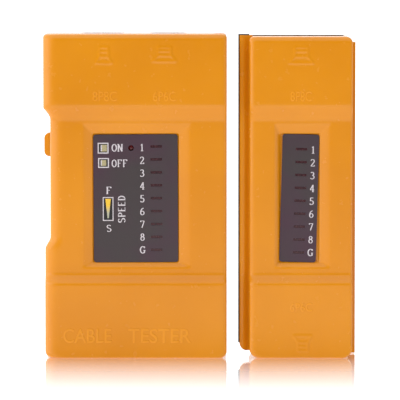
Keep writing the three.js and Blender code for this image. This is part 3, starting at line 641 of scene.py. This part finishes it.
def build_seal():
    """Painted shade: a thin black strip along the rail's outer side and top end, and along the seam over the
    remote unit, standing in for the shade that falls on these edges beside the main unit and over the top.
    """
    low, top = remote_low[0], remote_high[2]
    boxes = [((low, low + PAINTED_SHADE_WIDTH + 0.05), PAINTED_SHADE_Y, (RAIL_BOTTOM + RAIL_CORNER, top + RAIL_RISE)),
             ((low, REMOTE_SIDE), PAINTED_SHADE_Y, (top + RAIL_RISE, top + RAIL_RISE + PAINTED_SHADE_CAP)),
             ((REMOTE_SIDE, REMOTE_RIGHT - SEAM_SHADE_END), (-SEAM, SEAM_SHADE_BACK),
              (top - 0.5, top + SEAM_SHADE_RISE))]
    shade_strip = build_mesh("remote_painted_shade_strip", *box_parts(boxes), BLACK)
    return attach(shade_strip, REMOTE_BODY, "black_plastic")


def build_remote_front():
    cover = front_cover("remote_front_cover_skin", REMOTE)
    boolean(cover, rail_parts(), "UNION")
    boolean(cover, box_parts(lamp_rows(REMOTE_LAMPS)), "DIFFERENCE")
    shade(cover, 32)
    return attach(cover, REMOTE_BODY, "orange_shell", "remote_front_cover")


HEAD_BORE = 2.5            # radii of a screw's counterbore, its clearance hole and its boss
SHAFT_BORE = 1.5
BOSS_RADIUS = 3.4
HEAD_SEAT = 11.5


def screw_cuts(nodes):
    """Counterbores and clearance holes behind each screw."""
    rods = []
    for name in nodes:
        low, high = node_box(name)
        centre = (low + high) / 2
        rods.append((centre, 1, HEAD_BORE, HEAD_SEAT, HALF_DEPTH + 1))
        rods.append((centre, 1, SHAFT_BORE, -1.0, HEAD_SEAT + 0.5))
    return rods


JACK_SHOULDER = 1.05


def screw_bosses(nodes):
    return [((node_box(n)[0] + node_box(n)[1]) / 2, 1, BOSS_RADIUS, SEAM + 0.2, 13.0) for n in nodes]


def jack_cut(name, low_z, high_z):
    """The opening in an end wall for a jack's nose, which is narrower than its body on each side."""
    low, high = node_box(name)
    half = (high[0] - low[0]) / 2 - JACK_SHOULDER
    x = JACK_X[name]
    return ((x - half, x + half), (-1.0, 9.9), (low_z, high_z))


def cut_in_turn(piece, boxes, rods):
    for shape in boxes:
        boolean(piece, box_parts([shape]), "DIFFERENCE")
    for rod in rods:
        boolean(piece, rod_parts([rod]), "DIFFERENCE")


MAIN_SCREWS = [f"master_screw_{i}" for i in range(1, 5)]
REMOTE_SCREWS = [f"remote_screw_{i}" for i in range(1, 5)]
DOORWAY_X = (-45.9, 5.9)
WHEEL_SLOT = 6.2           # half the height of the thumbwheel's slot
FLANGE_BACK = 6.0
FLANGE_Z = (0.3, 99.0)
PIN_INSET = 1.2            # the door's hinge pins lie this far in from its back and lower edge
PIN_SOCKET = 0.8           # half width of the sockets that they turn in


def pin_sockets(door_low, door_high):
    """Sockets in the side walls for the battery door's hinge pins."""
    y, z = HALF_DEPTH - PIN_INSET, door_low[2] + PIN_INSET
    return ((door_low[0] - 0.15, door_high[0] + 0.15),
            (y - PIN_SOCKET, y + PIN_SOCKET), (z - PIN_SOCKET, z + PIN_SOCKET))


def build_main_back():
    shell = back_shell("main_back_shell", MAIN)
    boolean(shell, rod_parts(screw_bosses(MAIN_SCREWS)), "UNION")
    door_low, door_high = node_box("battery_door")
    doorway = (DOORWAY_X, (0.0, HALF_DEPTH + 1), (door_low[2] - 0.3, door_high[2] + 0.3))
    wheel_low, wheel_high = node_box("speed_wheel")
    middle = (wheel_low[2] + wheel_high[2]) / 2
    wheel = ((front_low[0] - 1, front_low[0] + 5), (-1.0, wheel_high[1] + 0.3),
             (middle - WHEEL_SLOT, middle + WHEEL_SLOT))
    top = front_high[2]
    notches = [jack_cut(n, top - 3, top + 1) for n in ("master_jack_8p", "master_jack_6p")]
    cut_in_turn(shell, [doorway, pin_sockets(door_low, door_high), button_hole(), wheel, *notches],
                screw_cuts(MAIN_SCREWS))
    shade(shell, 32)
    return attach(shell, MAIN_BODY, "orange_shell", "master_back_shell")


def build_remote_back():
    shell = back_shell("remote_back_shell_skin", REMOTE)
    flange = ((REMOTE_RIGHT - 1, back_high[0]), (SEAM, FLANGE_BACK), FLANGE_Z)
    boolean(shell, rod_parts(screw_bosses(REMOTE_SCREWS)), "UNION")
    boolean(shell, box_parts([flange]), "UNION")
    top = remote_high[2]
    notches = [jack_cut("remote_jack_8p", top - 3, top + 1), jack_cut("remote_jack_6p", -1.0, 3.0)]
    cut_in_turn(shell, notches, screw_cuts(REMOTE_SCREWS))
    shade(shell, 32)
    return attach(shell, REMOTE_BODY, "orange_shell", "remote_back_shell")


build_main_front()
build_remote_front()
build_main_back()
build_remote_back()
build_seal()


# ---- Lettering ----------------------------------------------------------------------------------
def flat_letters(text):
    """Text as a mesh drawn in X and Y, with rounded edges, from Blender's own font."""
    curve = bpy.data.curves.new("letters", "FONT")
    curve.body = text
    curve.extrude = 0.1
    curve.bevel_depth = 0.035
    curve.bevel_resolution = 2
    curve.offset = -0.02
    curve.resolution_u = 4
    holder = bpy.data.objects.new("letters", curve)
    bpy.context.scene.collection.objects.link(holder)
    graph = bpy.context.evaluated_depsgraph_get()
    mesh = bpy.data.meshes.new_from_object(holder.evaluated_get(graph), depsgraph=graph)
    bpy.data.objects.remove(holder)
    points = np.array([v.co for v in mesh.vertices])
    faces = [tuple(p.vertices) for p in mesh.polygons]
    bpy.data.meshes.remove(mesh)
    return points, faces


def raised_word(name, text, centre, width, height, body):
    """A word raised on the front face, RELIEF proud of it, in a lighter orange that paints on the highlight
    its strokes catch.
    """
    points, faces = flat_letters(text)
    low, high = points.min(0), points.max(0)
    place = (points - (low + high) / 2) / (high - low)
    x = centre[0] + place[:, 0] * width
    z = centre[1] + place[:, 1] * height
    y = -HALF_DEPTH + (0.5 - place[:, 2]) * (RELIEF + 0.3)
    word = build_mesh(name, np.stack([x, y, z], -1).tolist(), faces, LIT_MARK_ORANGE, 60.0)
    return attach(word, body, "orange_shell")


raised_word("main_mark_8p", "8P8C", (JACK_X["master_jack_8p"] + 1.0, TEXT_Z), 7.6, 3.2, MAIN_BODY)
raised_word("main_mark_6p", "6P6C", (JACK_X["master_jack_6p"] - 1.0, TEXT_Z), 7.2, 3.2, MAIN_BODY)
raised_word("main_mark_cable", "CABLE", (-35.3, 7.1), 15.2, 4.6, MAIN_BODY)
raised_word("main_mark_tester", "TESTER", (-12.6, 7.1), 19.8, 4.6, MAIN_BODY)
raised_word("remote_mark_8p", "8P8C", (JACK_X["remote_jack_8p"], TEXT_Z), 6.6, 3.2, REMOTE_BODY)
raised_word("remote_mark_6p", "6P6C", (JACK_X["remote_jack_6p"] + 0.1, LOWER_TEXT_Z), 7.0, 2.8, REMOTE_BODY)


# Printed characters are drawn with a broad pen on a grid 6 wide and 10 high: upright strokes come out thick
# and level strokes thin. Each character is a list of strokes.
THIN, THICK = 0.75, 1.5


def arc(x, z, width, height, start, end, steps=14):
    angles = np.radians(np.linspace(start, end, steps + 1))
    return [(x + width * math.cos(a), z + height * math.sin(a)) for a in angles]


def serif(x, z, half=1.0):
    return [(x - half, z), (x + half, z)]


CHARACTERS = {
    "1": [[(3, 0), (3, 10)], [(1.3, 8.2), (3, 9.7)], serif(3, 0.4, 1.8)],
    "2": [arc(2.9, 7.3, 2.3, 2.3, 165, -25) + [(0.8, 0.7)], [(0.5, 0.6), (5.4, 0.6)],
          [(5.3, 0.4), (5.5, 2.0)]],
    "3": [arc(2.8, 7.5, 2.0, 2.1, 150, -90), arc(2.8, 2.9, 2.5, 2.5, 90, -150)],
    "4": [[(4.0, 0.4), (4.0, 10)], [(4.0, 9.6), (0.4, 3.1)], [(0.2, 3.1), (5.8, 3.1)], serif(4.0, 0.4, 1.4)],
    "5": [[(1.4, 9.5), (5.2, 9.5)], [(1.4, 9.7), (1.1, 5.3)], arc(2.6, 3.1, 2.6, 2.7, 115, -150)],
    "6": [arc(5.3, 3.4, 4.7, 6.2, 95, 178), arc(3.1, 3.0, 2.4, 2.6, 0, 360)],
    "7": [[(0.5, 9.5), (5.7, 9.5)], [(5.5, 9.4), (2.3, 0.0)], [(0.6, 9.7), (0.7, 7.9)]],
    "8": [arc(3, 7.5, 1.8, 2.0, 0, 360), arc(3, 2.8, 2.3, 2.5, 0, 360)],
    "G": [arc(3.2, 5, 2.7, 4.6, 42, 318), [(5.2, 0.7), (5.2, 4.4)], serif(5.1, 4.4, 1.2),
          [(5.2, 7.4), (5.2, 9.6)]],
    "O": [arc(3, 5, 2.6, 4.6, 0, 360)],
    "N": [[(1, 0.2), (1, 9.8)], [(0.9, 9.6), (5.1, 0.3)], [(5.1, 0.2), (5.1, 9.8)], serif(0.8, 9.6),
          serif(1, 0.4), serif(5.2, 9.6)],
    "F": [[(1.5, 0.2), (1.5, 9.8)], [(0.5, 9.6), (5.5, 9.6)], [(1.5, 5.2), (4.3, 5.2)], serif(1.5, 0.4),
          [(5.4, 9.8), (5.4, 8.0)]],
    "S": [arc(3, 7.4, 2.1, 2.2, 25, 250) + arc(3, 2.7, 2.4, 2.3, 70, -150)],
    "P": [[(1.5, 0.2), (1.5, 9.8)], serif(1.5, 0.4),
          [(0.6, 9.6), (2.6, 9.6)] + arc(2.9, 7.2, 2.4, 2.4, 85, -90) + [(1.5, 4.8)]],
    "E": [[(1.5, 0.2), (1.5, 9.8)], [(0.5, 9.6), (5.4, 9.6)], [(1.5, 5.2), (4.2, 5.2)],
          [(0.5, 0.4), (5.6, 0.4)]],
    "D": [[(1.5, 0.2), (1.5, 9.8)], [(0.6, 9.6), (2.6, 9.6)] + arc(2.6, 5, 3.0, 4.6, 88, -88) + [(0.6, 0.4)]],
}


def pen_band(points):
    """The two sides of one pen stroke, and whether it closes on itself."""
    path = np.array(points, float)
    closed = len(path) > 2 and np.allclose(path[0], path[-1])
    if closed:
        path = path[:-1]
    ahead = np.roll(path, -1, 0) - path
    behind = path - np.roll(path, 1, 0)
    if not closed:
        ahead[-1], behind[0] = behind[-1], ahead[0]
    ahead /= np.hypot(*ahead.T)[:, None]
    behind /= np.hypot(*behind.T)[:, None]
    along = ahead + behind
    along /= np.hypot(*along.T)[:, None]
    half = (THIN + (THICK - THIN) * np.abs(along[:, 1])) / 2
    across = np.stack([-along[:, 1], along[:, 0]], -1) * half[:, None]
    return path + across, path - across, closed


def pen_stroke(points):
    """A closed strip, from 0 to 1 in depth, along one stroke: vertices are (x, depth, z)."""
    left, right, closed = pen_band(points)
    count = len(left)
    vertices = []
    for depth in (0.0, 1.0):
        for side in (left, right):
            vertices += [(x, depth, z) for x, z in side]
    faces = []
    for k in range(count if closed else count - 1):
        n = (k + 1) % count
        rings = [(0, count), (count, 3 * count), (3 * count, 2 * count), (2 * count, 0)]
        faces += [(a + k, a + n, b + n, b + k) for a, b in rings]
    if not closed:
        faces += [(k, count + k, 3 * count + k, 2 * count + k) for k in (0, count - 1)]
    return vertices, faces


drawn_characters = {}


def character(mark):
    """One character's strokes merged into one outline, drawn once and kept."""
    if mark not in drawn_characters:
        first, *others = [pen_stroke(stroke) for stroke in CHARACTERS[mark]]
        piece = build_mesh("character", *first, WHITE_INK)
        if others:
            boolean(piece, combine(*others), "UNION", overlapping=True)
        points = np.array([v.co for v in piece.data.vertices]) / MM
        drawn_characters[mark] = points.tolist(), [tuple(p.vertices) for p in piece.data.polygons]
        bpy.data.objects.remove(piece)
    return drawn_characters[mark]


def print_word(text, centre, width, height, turn=0.0):
    """Printed text, width by height, centred on (x, z) and turned anticlockwise by turn degrees."""
    pitch = 6.9
    parts = []
    for place, mark in enumerate(text):
        vertices, faces = character(mark)
        shifted = [(x + place * pitch, y, z) for x, y, z in vertices]
        parts.append((shifted, faces))
    vertices, faces = combine(*parts)
    points = np.array(vertices)
    low, high = points.min(0), points.max(0)
    u = ((points[:, 0] - low[0]) / (high[0] - low[0]) - 0.5) * width
    v = ((points[:, 2] - low[2]) / (high[2] - low[2]) - 0.5) * height
    cos, sin = math.cos(math.radians(turn)), math.sin(math.radians(turn))
    y = INK_FACE + points[:, 1] * (INK_THICKNESS + INK_ROOT)
    return np.stack([centre[0] + u * cos - v * sin, y, centre[1] + u * sin + v * cos], -1).tolist(), faces


LABEL_FACE = label_low[1]
INK_FACE = LABEL_FACE - INK_THICKNESS
MAIN_LABEL_TURN = -0.3
REMOTE_LABEL_TURN = 1.5
MAIN_CENTRE = ((label_low[0] + label_high[0]) / 2, (label_low[2] + label_high[2]) / 2)
REMOTE_CENTRE = (
    (remote_label_low[0] + remote_label_high[0]) / 2, (remote_label_low[2] + remote_label_high[2]) / 2)
LABEL_WIDTH, LABEL_HEIGHT = 26.5, 40.2


def turned(parts, centre, degrees):
    """Parts turned clockwise, as seen from the front, about (x, z)."""
    vertices, faces = parts
    points = np.array(vertices, float)
    cos, sin = math.cos(math.radians(degrees)), math.sin(math.radians(degrees))
    x, z = points[:, 0] - centre[0], points[:, 2] - centre[1]
    points[:, 0] = centre[0] + x * cos + z * sin
    points[:, 2] = centre[1] - x * sin + z * cos
    return points.tolist(), faces


def printed(name, parts, ink_material, body=MAIN_BODY, slot="label_film"):
    """A printed piece on one of the two labels, turned with it."""
    place, turn = (MAIN_CENTRE, MAIN_LABEL_TURN) if body == MAIN_BODY else (REMOTE_CENTRE, REMOTE_LABEL_TURN)
    return attach(build_mesh(name, *turned(parts, place, turn), ink_material), body, slot)


def panel(x, z, width, height, front, back):
    return ((x - width / 2, x + width / 2), (front, back), (z - height / 2, z + height / 2))


def frame_bars(x, z, width, height, line):
    """Four bars around a rectangle, as boxes."""
    root = LABEL_FACE + INK_ROOT
    half_w, half_h = (width - line) / 2, (height - line) / 2
    return [
        panel(x, z + half_h, width, line, INK_FACE, root),
        panel(x, z - half_h, width, line, INK_FACE, root),
        panel(x - half_w, z, line, height - 2 * line, INK_FACE, root),
        panel(x + half_w, z, line, height - 2 * line, INK_FACE, root),
    ]


def label_place(right, down):
    """A place on the main label, from its upper left corner before it is turned."""
    return MAIN_CENTRE[0] - LABEL_WIDTH / 2 + right, MAIN_CENTRE[1] + LABEL_HEIGHT / 2 - down


def digit(mark, place):
    return print_word(mark.upper(), place, {"g": 1.75, "1": 0.85}.get(mark, 1.4), 2.3)


SWITCH_SIGNS = ((label_place(3.1, 4.25), 3.4, 0.22, 1.9), (label_place(3.2, 8.9), 3.1, 0.0, 1.7))
FIELD_LINE = 0.34
SPEED_FIELD = label_place(4.55, 23.4)
SPEED_FIELD_SIZE = (3.35, 7.5)


def main_legend():
    """Pale printing on the main label."""
    parts = [
        print_word("ON", label_place(7.5, 4.15), 3.55, 2.4),
        print_word("OFF", label_place(8.2, 9.05), 4.95, 2.4),
        print_word("F", label_place(4.85, 17.55), 1.6, 2.35),
        print_word("S", label_place(4.8, 29.5), 1.5, 2.2),
        print_word("SPEED", label_place(8.8, 23.5), 8.5, 2.3, 90.0),
    ]
    parts += [digit(mark, label_place(15.3, 4.1 + 4.03 * row)) for row, mark in enumerate(LAMP_MARKS)]
    bars = []
    for (x, z), height, _, _ in SWITCH_SIGNS:
        bars += frame_bars(x, z, 3.4, height, FIELD_LINE)
    bars += frame_bars(*SPEED_FIELD, *SPEED_FIELD_SIZE, FIELD_LINE - 0.06)
    parts.append(box_parts(bars))
    printed("main_label_legend", combine(*parts), WHITE_INK)


def switch_pictograms():
    """Two small pictures of the push button: pressed in for on, standing out for off."""
    fields, caps, gleams = [], [], []
    field_face, root = LABEL_FACE - INK_THICKNESS / 2, LABEL_FACE + INK_ROOT
    for (x, z), height, shift, width in SWITCH_SIGNS:
        fields.append(panel(x, z, 3.4 - 2 * FIELD_LINE, height - 2 * FIELD_LINE, field_face, root))
        caps.append(panel(x + shift, z, width, height - 1.3, INK_FACE, root))
        gleams.append(panel(x + shift - width / 2 + 0.16, z, 0.36, height - 1.5, INK_FACE - 0.01, root))
    inner = [size - 2 * FIELD_LINE for size in SPEED_FIELD_SIZE]
    fields.append(panel(*SPEED_FIELD, *inner, field_face, root))
    printed("main_label_dark_fields", box_parts(fields), BLACK_INK)
    printed("main_label_button_signs", box_parts(caps), CREAM_INK)
    printed("main_label_button_gleams", box_parts(gleams), WHITE_INK)


def speed_wedge():
    x, z = SPEED_FIELD
    top, bottom = z + 3.2, z - 2.9
    outline = [(x - 0.85, top), (x + 0.85, top), (x + 0.2, bottom), (x - 0.2, bottom)]
    vertices = [(a, INK_FACE, c) for a, c in outline] + [(a, LABEL_FACE + INK_ROOT, c) for a, c in outline]
    faces = [(0, 1, 2, 3), (7, 6, 5, 4)] + [(k, (k + 1) % 4, (k + 1) % 4 + 4, k + 4) for k in range(4)]
    printed("main_label_speed_wedge", (vertices, faces), wedge_ink(bottom, top))


def remote_legend():
    places = [(REMOTE_CENTRE[0] + 3.93, REMOTE_CENTRE[1] + 15.3 - 4.04 * row)
              for row in range(len(LAMP_MARKS))]
    parts = [digit(mark, place) for mark, place in zip(LAMP_MARKS, places)]
    printed("remote_label_legend", combine(*parts), WHITE_INK, REMOTE_BODY)


def lamp_windows(name, lamps, body):
    """Tinted windows of a label, one in front of each lamp."""
    boxes = []
    for lamp in lamps:
        low, high = node_box(lamp)
        x, z = (low[0] + high[0]) / 2, (low[2] + high[2]) / 2
        boxes.append(panel(x, z, 3.5, 0.7, LABEL_FACE + INK_ROOT, LABEL_FACE + 0.4))
    printed(name, box_parts(boxes), LAMP_WINDOW, body, "red_lens")


main_legend()
switch_pictograms()
speed_wedge()
remote_legend()
lamp_windows("main_lamp_windows", MAIN_LAMPS, MAIN_BODY)
lamp_windows("remote_lamp_windows", REMOTE_LAMPS, REMOTE_BODY)


# ---- CAD pieces that keep their shape ---------------------------------------------------------------
def dress(name, material, bevel=0.0, sharp_degrees=35.0):
    """Gives a CAD node its material and, where asked, softened edges."""
    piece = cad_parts[name]
    piece.data.materials.clear()
    piece.data.materials.append(material)
    if bevel:
        modifier = piece.modifiers.new("soft_edges", "BEVEL")
        modifier.width = bevel * MM
        modifier.segments = 3
        modifier.limit_method = "ANGLE"
        modifier.angle_limit = math.radians(sharp_degrees)
        modifier.harden_normals = False


battery_low, battery_high = node_box("battery_9v")
DRESSING = {
    "battery_door": (ORANGE, 0.25), "power_button": (LIT_BUTTON_ORANGE, 0.8), "speed_wheel": (ORANGE, 0.12),
    "master_label": (LABEL, 0.08), "remote_label": (LABEL, 0.08),
    "master_circuit_board": (LAMINATE, 0.1), "remote_circuit_board": (LAMINATE, 0.1),
    "master_jack_8p": (BLACK, 0.12), "master_jack_6p": (BLACK, 0.12),
    "remote_jack_8p": (BLACK, 0.12), "remote_jack_6p": (BLACK, 0.12),
    "master_contacts_8p": (GOLD, 0.0), "master_contacts_6p": (GOLD, 0.0),
    "remote_contacts_8p": (GOLD, 0.0), "remote_contacts_6p": (GOLD, 0.0),
    "power_led": (LAMP_EPOXY, 0.0), "power_switch_body": (BLACK, 0.2), "speed_potentiometer": (BLACK, 0.2),
    "counter_chip": (CHIP, 0.0), "timer_chip": (CHIP, 0.0), "capacitor": (ALUMINIUM, 0.2),
    "battery_9v": (battery_can(battery_low[0], battery_high[0]), 0.3), "battery_snap": (BLACK, 0.3),
    "lead_black": (BLACK_PVC, 0.0), "lead_red": (RED_PVC, 0.0),
}
for lamp_node in MAIN_LAMPS + REMOTE_LAMPS:
    DRESSING[lamp_node] = (LAMP_EPOXY, 0.0)
for screw_node in MAIN_SCREWS + REMOTE_SCREWS:
    DRESSING[screw_node] = (STEEL, 0.1)
for node_name, (finish, bevel_width) in DRESSING.items():
    dress(node_name, finish, bevel_width)


# ---- Stage, light and camera ------------------------------------------------------------------------
def floor():
    """A white table top with a polished zone under the object, which mirrors only at a glancing angle."""
    far = 40.0 / MM
    near = -0.7 / MM
    vertices = [(-far, near, -0.05), (far, near, -0.05), (far, far, -0.05), (-far, far, -0.05)]
    tree = Tree("white_table", Base_Color=(0.6, 0.6, 0.6, 1.0), Roughness=0.5, Specular_IOR_Level=0.0,
                Emission_Color=(1.0, 1.0, 1.0, 1.0), Emission_Strength=0.75)
    split = tree.nodes.new("ShaderNodeSeparateXYZ")
    tree.link(tree.coordinates, "Object", split, "Vector")
    fade = tree.add("ShaderNodeMapRange", From_Min=-0.14, From_Max=-0.014, To_Min=0.0, To_Max=0.92)
    tree.link(split, "Y", fade, "Value")
    facing = tree.add("ShaderNodeLayerWeight", Blend=0.5)
    glancing = tree.add("ShaderNodeMapRange", From_Min=0.55, From_Max=0.86)
    tree.link(facing, "Facing", glancing, "Value")
    share = tree.nodes.new("ShaderNodeMath")
    share.operation = "MULTIPLY"
    tree.links.new(fade.outputs["Result"], share.inputs[0])
    tree.links.new(glancing.outputs["Result"], share.inputs[1])
    mirror = tree.add("ShaderNodeBsdfGlossy", Color=(0.97, 0.97, 0.97, 1.0), Roughness=0.04)
    mix = tree.nodes.new("ShaderNodeMixShader")
    tree.link(share, "Value", mix, "Fac")
    tree.links.new(tree.shader.outputs[0], mix.inputs[1])
    tree.links.new(mirror.outputs[0], mix.inputs[2])
    tree.links.new(mix.outputs[0], tree.nodes["Material Output"].inputs["Surface"])
    top = build_mesh("table_top", vertices, [(0, 1, 2, 3)], tree.material)


def softbox(name, place, target, size, watts):
    data = bpy.data.lights.new(name, "AREA")
    data.shape = "RECTANGLE"
    data.size, data.size_y = size
    data.energy = watts
    lamp = bpy.data.objects.new(name, data)
    lamp.location = place
    lamp.rotation_euler = (Vector(target) - Vector(place)).to_track_quat("-Z", "Y").to_euler()
    bpy.context.scene.collection.objects.link(lamp)


# How bright the studio is in each direction: (axis, from, to, brightness at from, brightness at to)
STUDIO_BASE = 2.02
STUDIO_FALL = (
    ("Y", -0.97, -0.6, 0.05, 1.0),      # dark behind the camera
    ("Y", 0.3, 1.0, 1.0, 0.75),         # a little less from behind the object
    ("X", 0.0, 0.9, 1.0, 0.4),          # and from the right
    ("Z", 0.1, 0.9, 1.0, 0.75),         # and from above
)


def studio():
    """A white room: brighter on the left and below, dark behind the camera, plain white to the camera."""
    world = bpy.data.worlds.new("white_studio")
    world.use_nodes = True
    nodes, links = world.node_tree.nodes, world.node_tree.links
    coordinates = nodes.new("ShaderNodeTexCoord")
    split = nodes.new("ShaderNodeSeparateXYZ")
    links.new(coordinates.outputs["Generated"], split.inputs["Vector"])
    background = nodes["Background"]
    background.inputs["Color"].default_value = (1.0, 1.0, 1.0, 1.0)
    level = None
    for axis, start, end, at_start, at_end in STUDIO_FALL:
        fall = nodes.new("ShaderNodeMapRange")
        fall.interpolation_type = "SMOOTHSTEP"
        for socket, value in zip(("From Min", "From Max", "To Min", "To Max"),
                                 (start, end, at_start, at_end)):
            fall.inputs[socket].default_value = value
        links.new(split.outputs[axis], fall.inputs["Value"])
        product = nodes.new("ShaderNodeMath")
        product.operation = "MULTIPLY"
        product.inputs[1].default_value = STUDIO_BASE
        links.new(fall.outputs["Result"], product.inputs[0])
        if level is not None:
            links.new(level, product.inputs[1])
        level = product.outputs["Value"]
    links.new(level, background.inputs["Strength"])
    white = nodes.new("ShaderNodeBackground")
    white.inputs["Color"].default_value = (0.985, 0.985, 0.98, 1.0)
    path = nodes.new("ShaderNodeLightPath")
    mix = nodes.new("ShaderNodeMixShader")
    links.new(path.outputs["Is Camera Ray"], mix.inputs["Fac"])
    links.new(background.outputs[0], mix.inputs[1])
    links.new(white.outputs[0], mix.inputs[2])
    links.new(mix.outputs[0], nodes["World Output"].inputs["Surface"])
    bpy.context.scene.world = world
    softbox("left_softbox", (-0.87, -0.23, 0.20), (0.0, 0.0, 0.05), (0.8, 0.8), 1.5)
    bpy.context.scene.view_settings.view_transform = "Standard"
    bpy.context.scene.view_settings.look = "None"


def camera():
    """A long lens a little above the top of the units, framing them as they stand."""
    distance = 1.2
    rise = 0.0775
    aim = Vector((0.0, -HALF_DEPTH * MM, 0.04985))
    view_width = 0.1254
    data = bpy.data.cameras.new("camera")
    data.sensor_width = 36.0
    eye = aim + Vector((0.0, -distance, rise))
    data.lens = data.sensor_width * (eye - aim).length / view_width
    data.clip_end = 20.0
    holder = bpy.data.objects.new("camera", data)
    holder.location = eye
    holder.rotation_euler = (aim - eye).to_track_quat("-Z", "Y").to_euler()
    bpy.context.scene.collection.objects.link(holder)
    bpy.context.scene.camera = holder


floor()
studio()
camera()
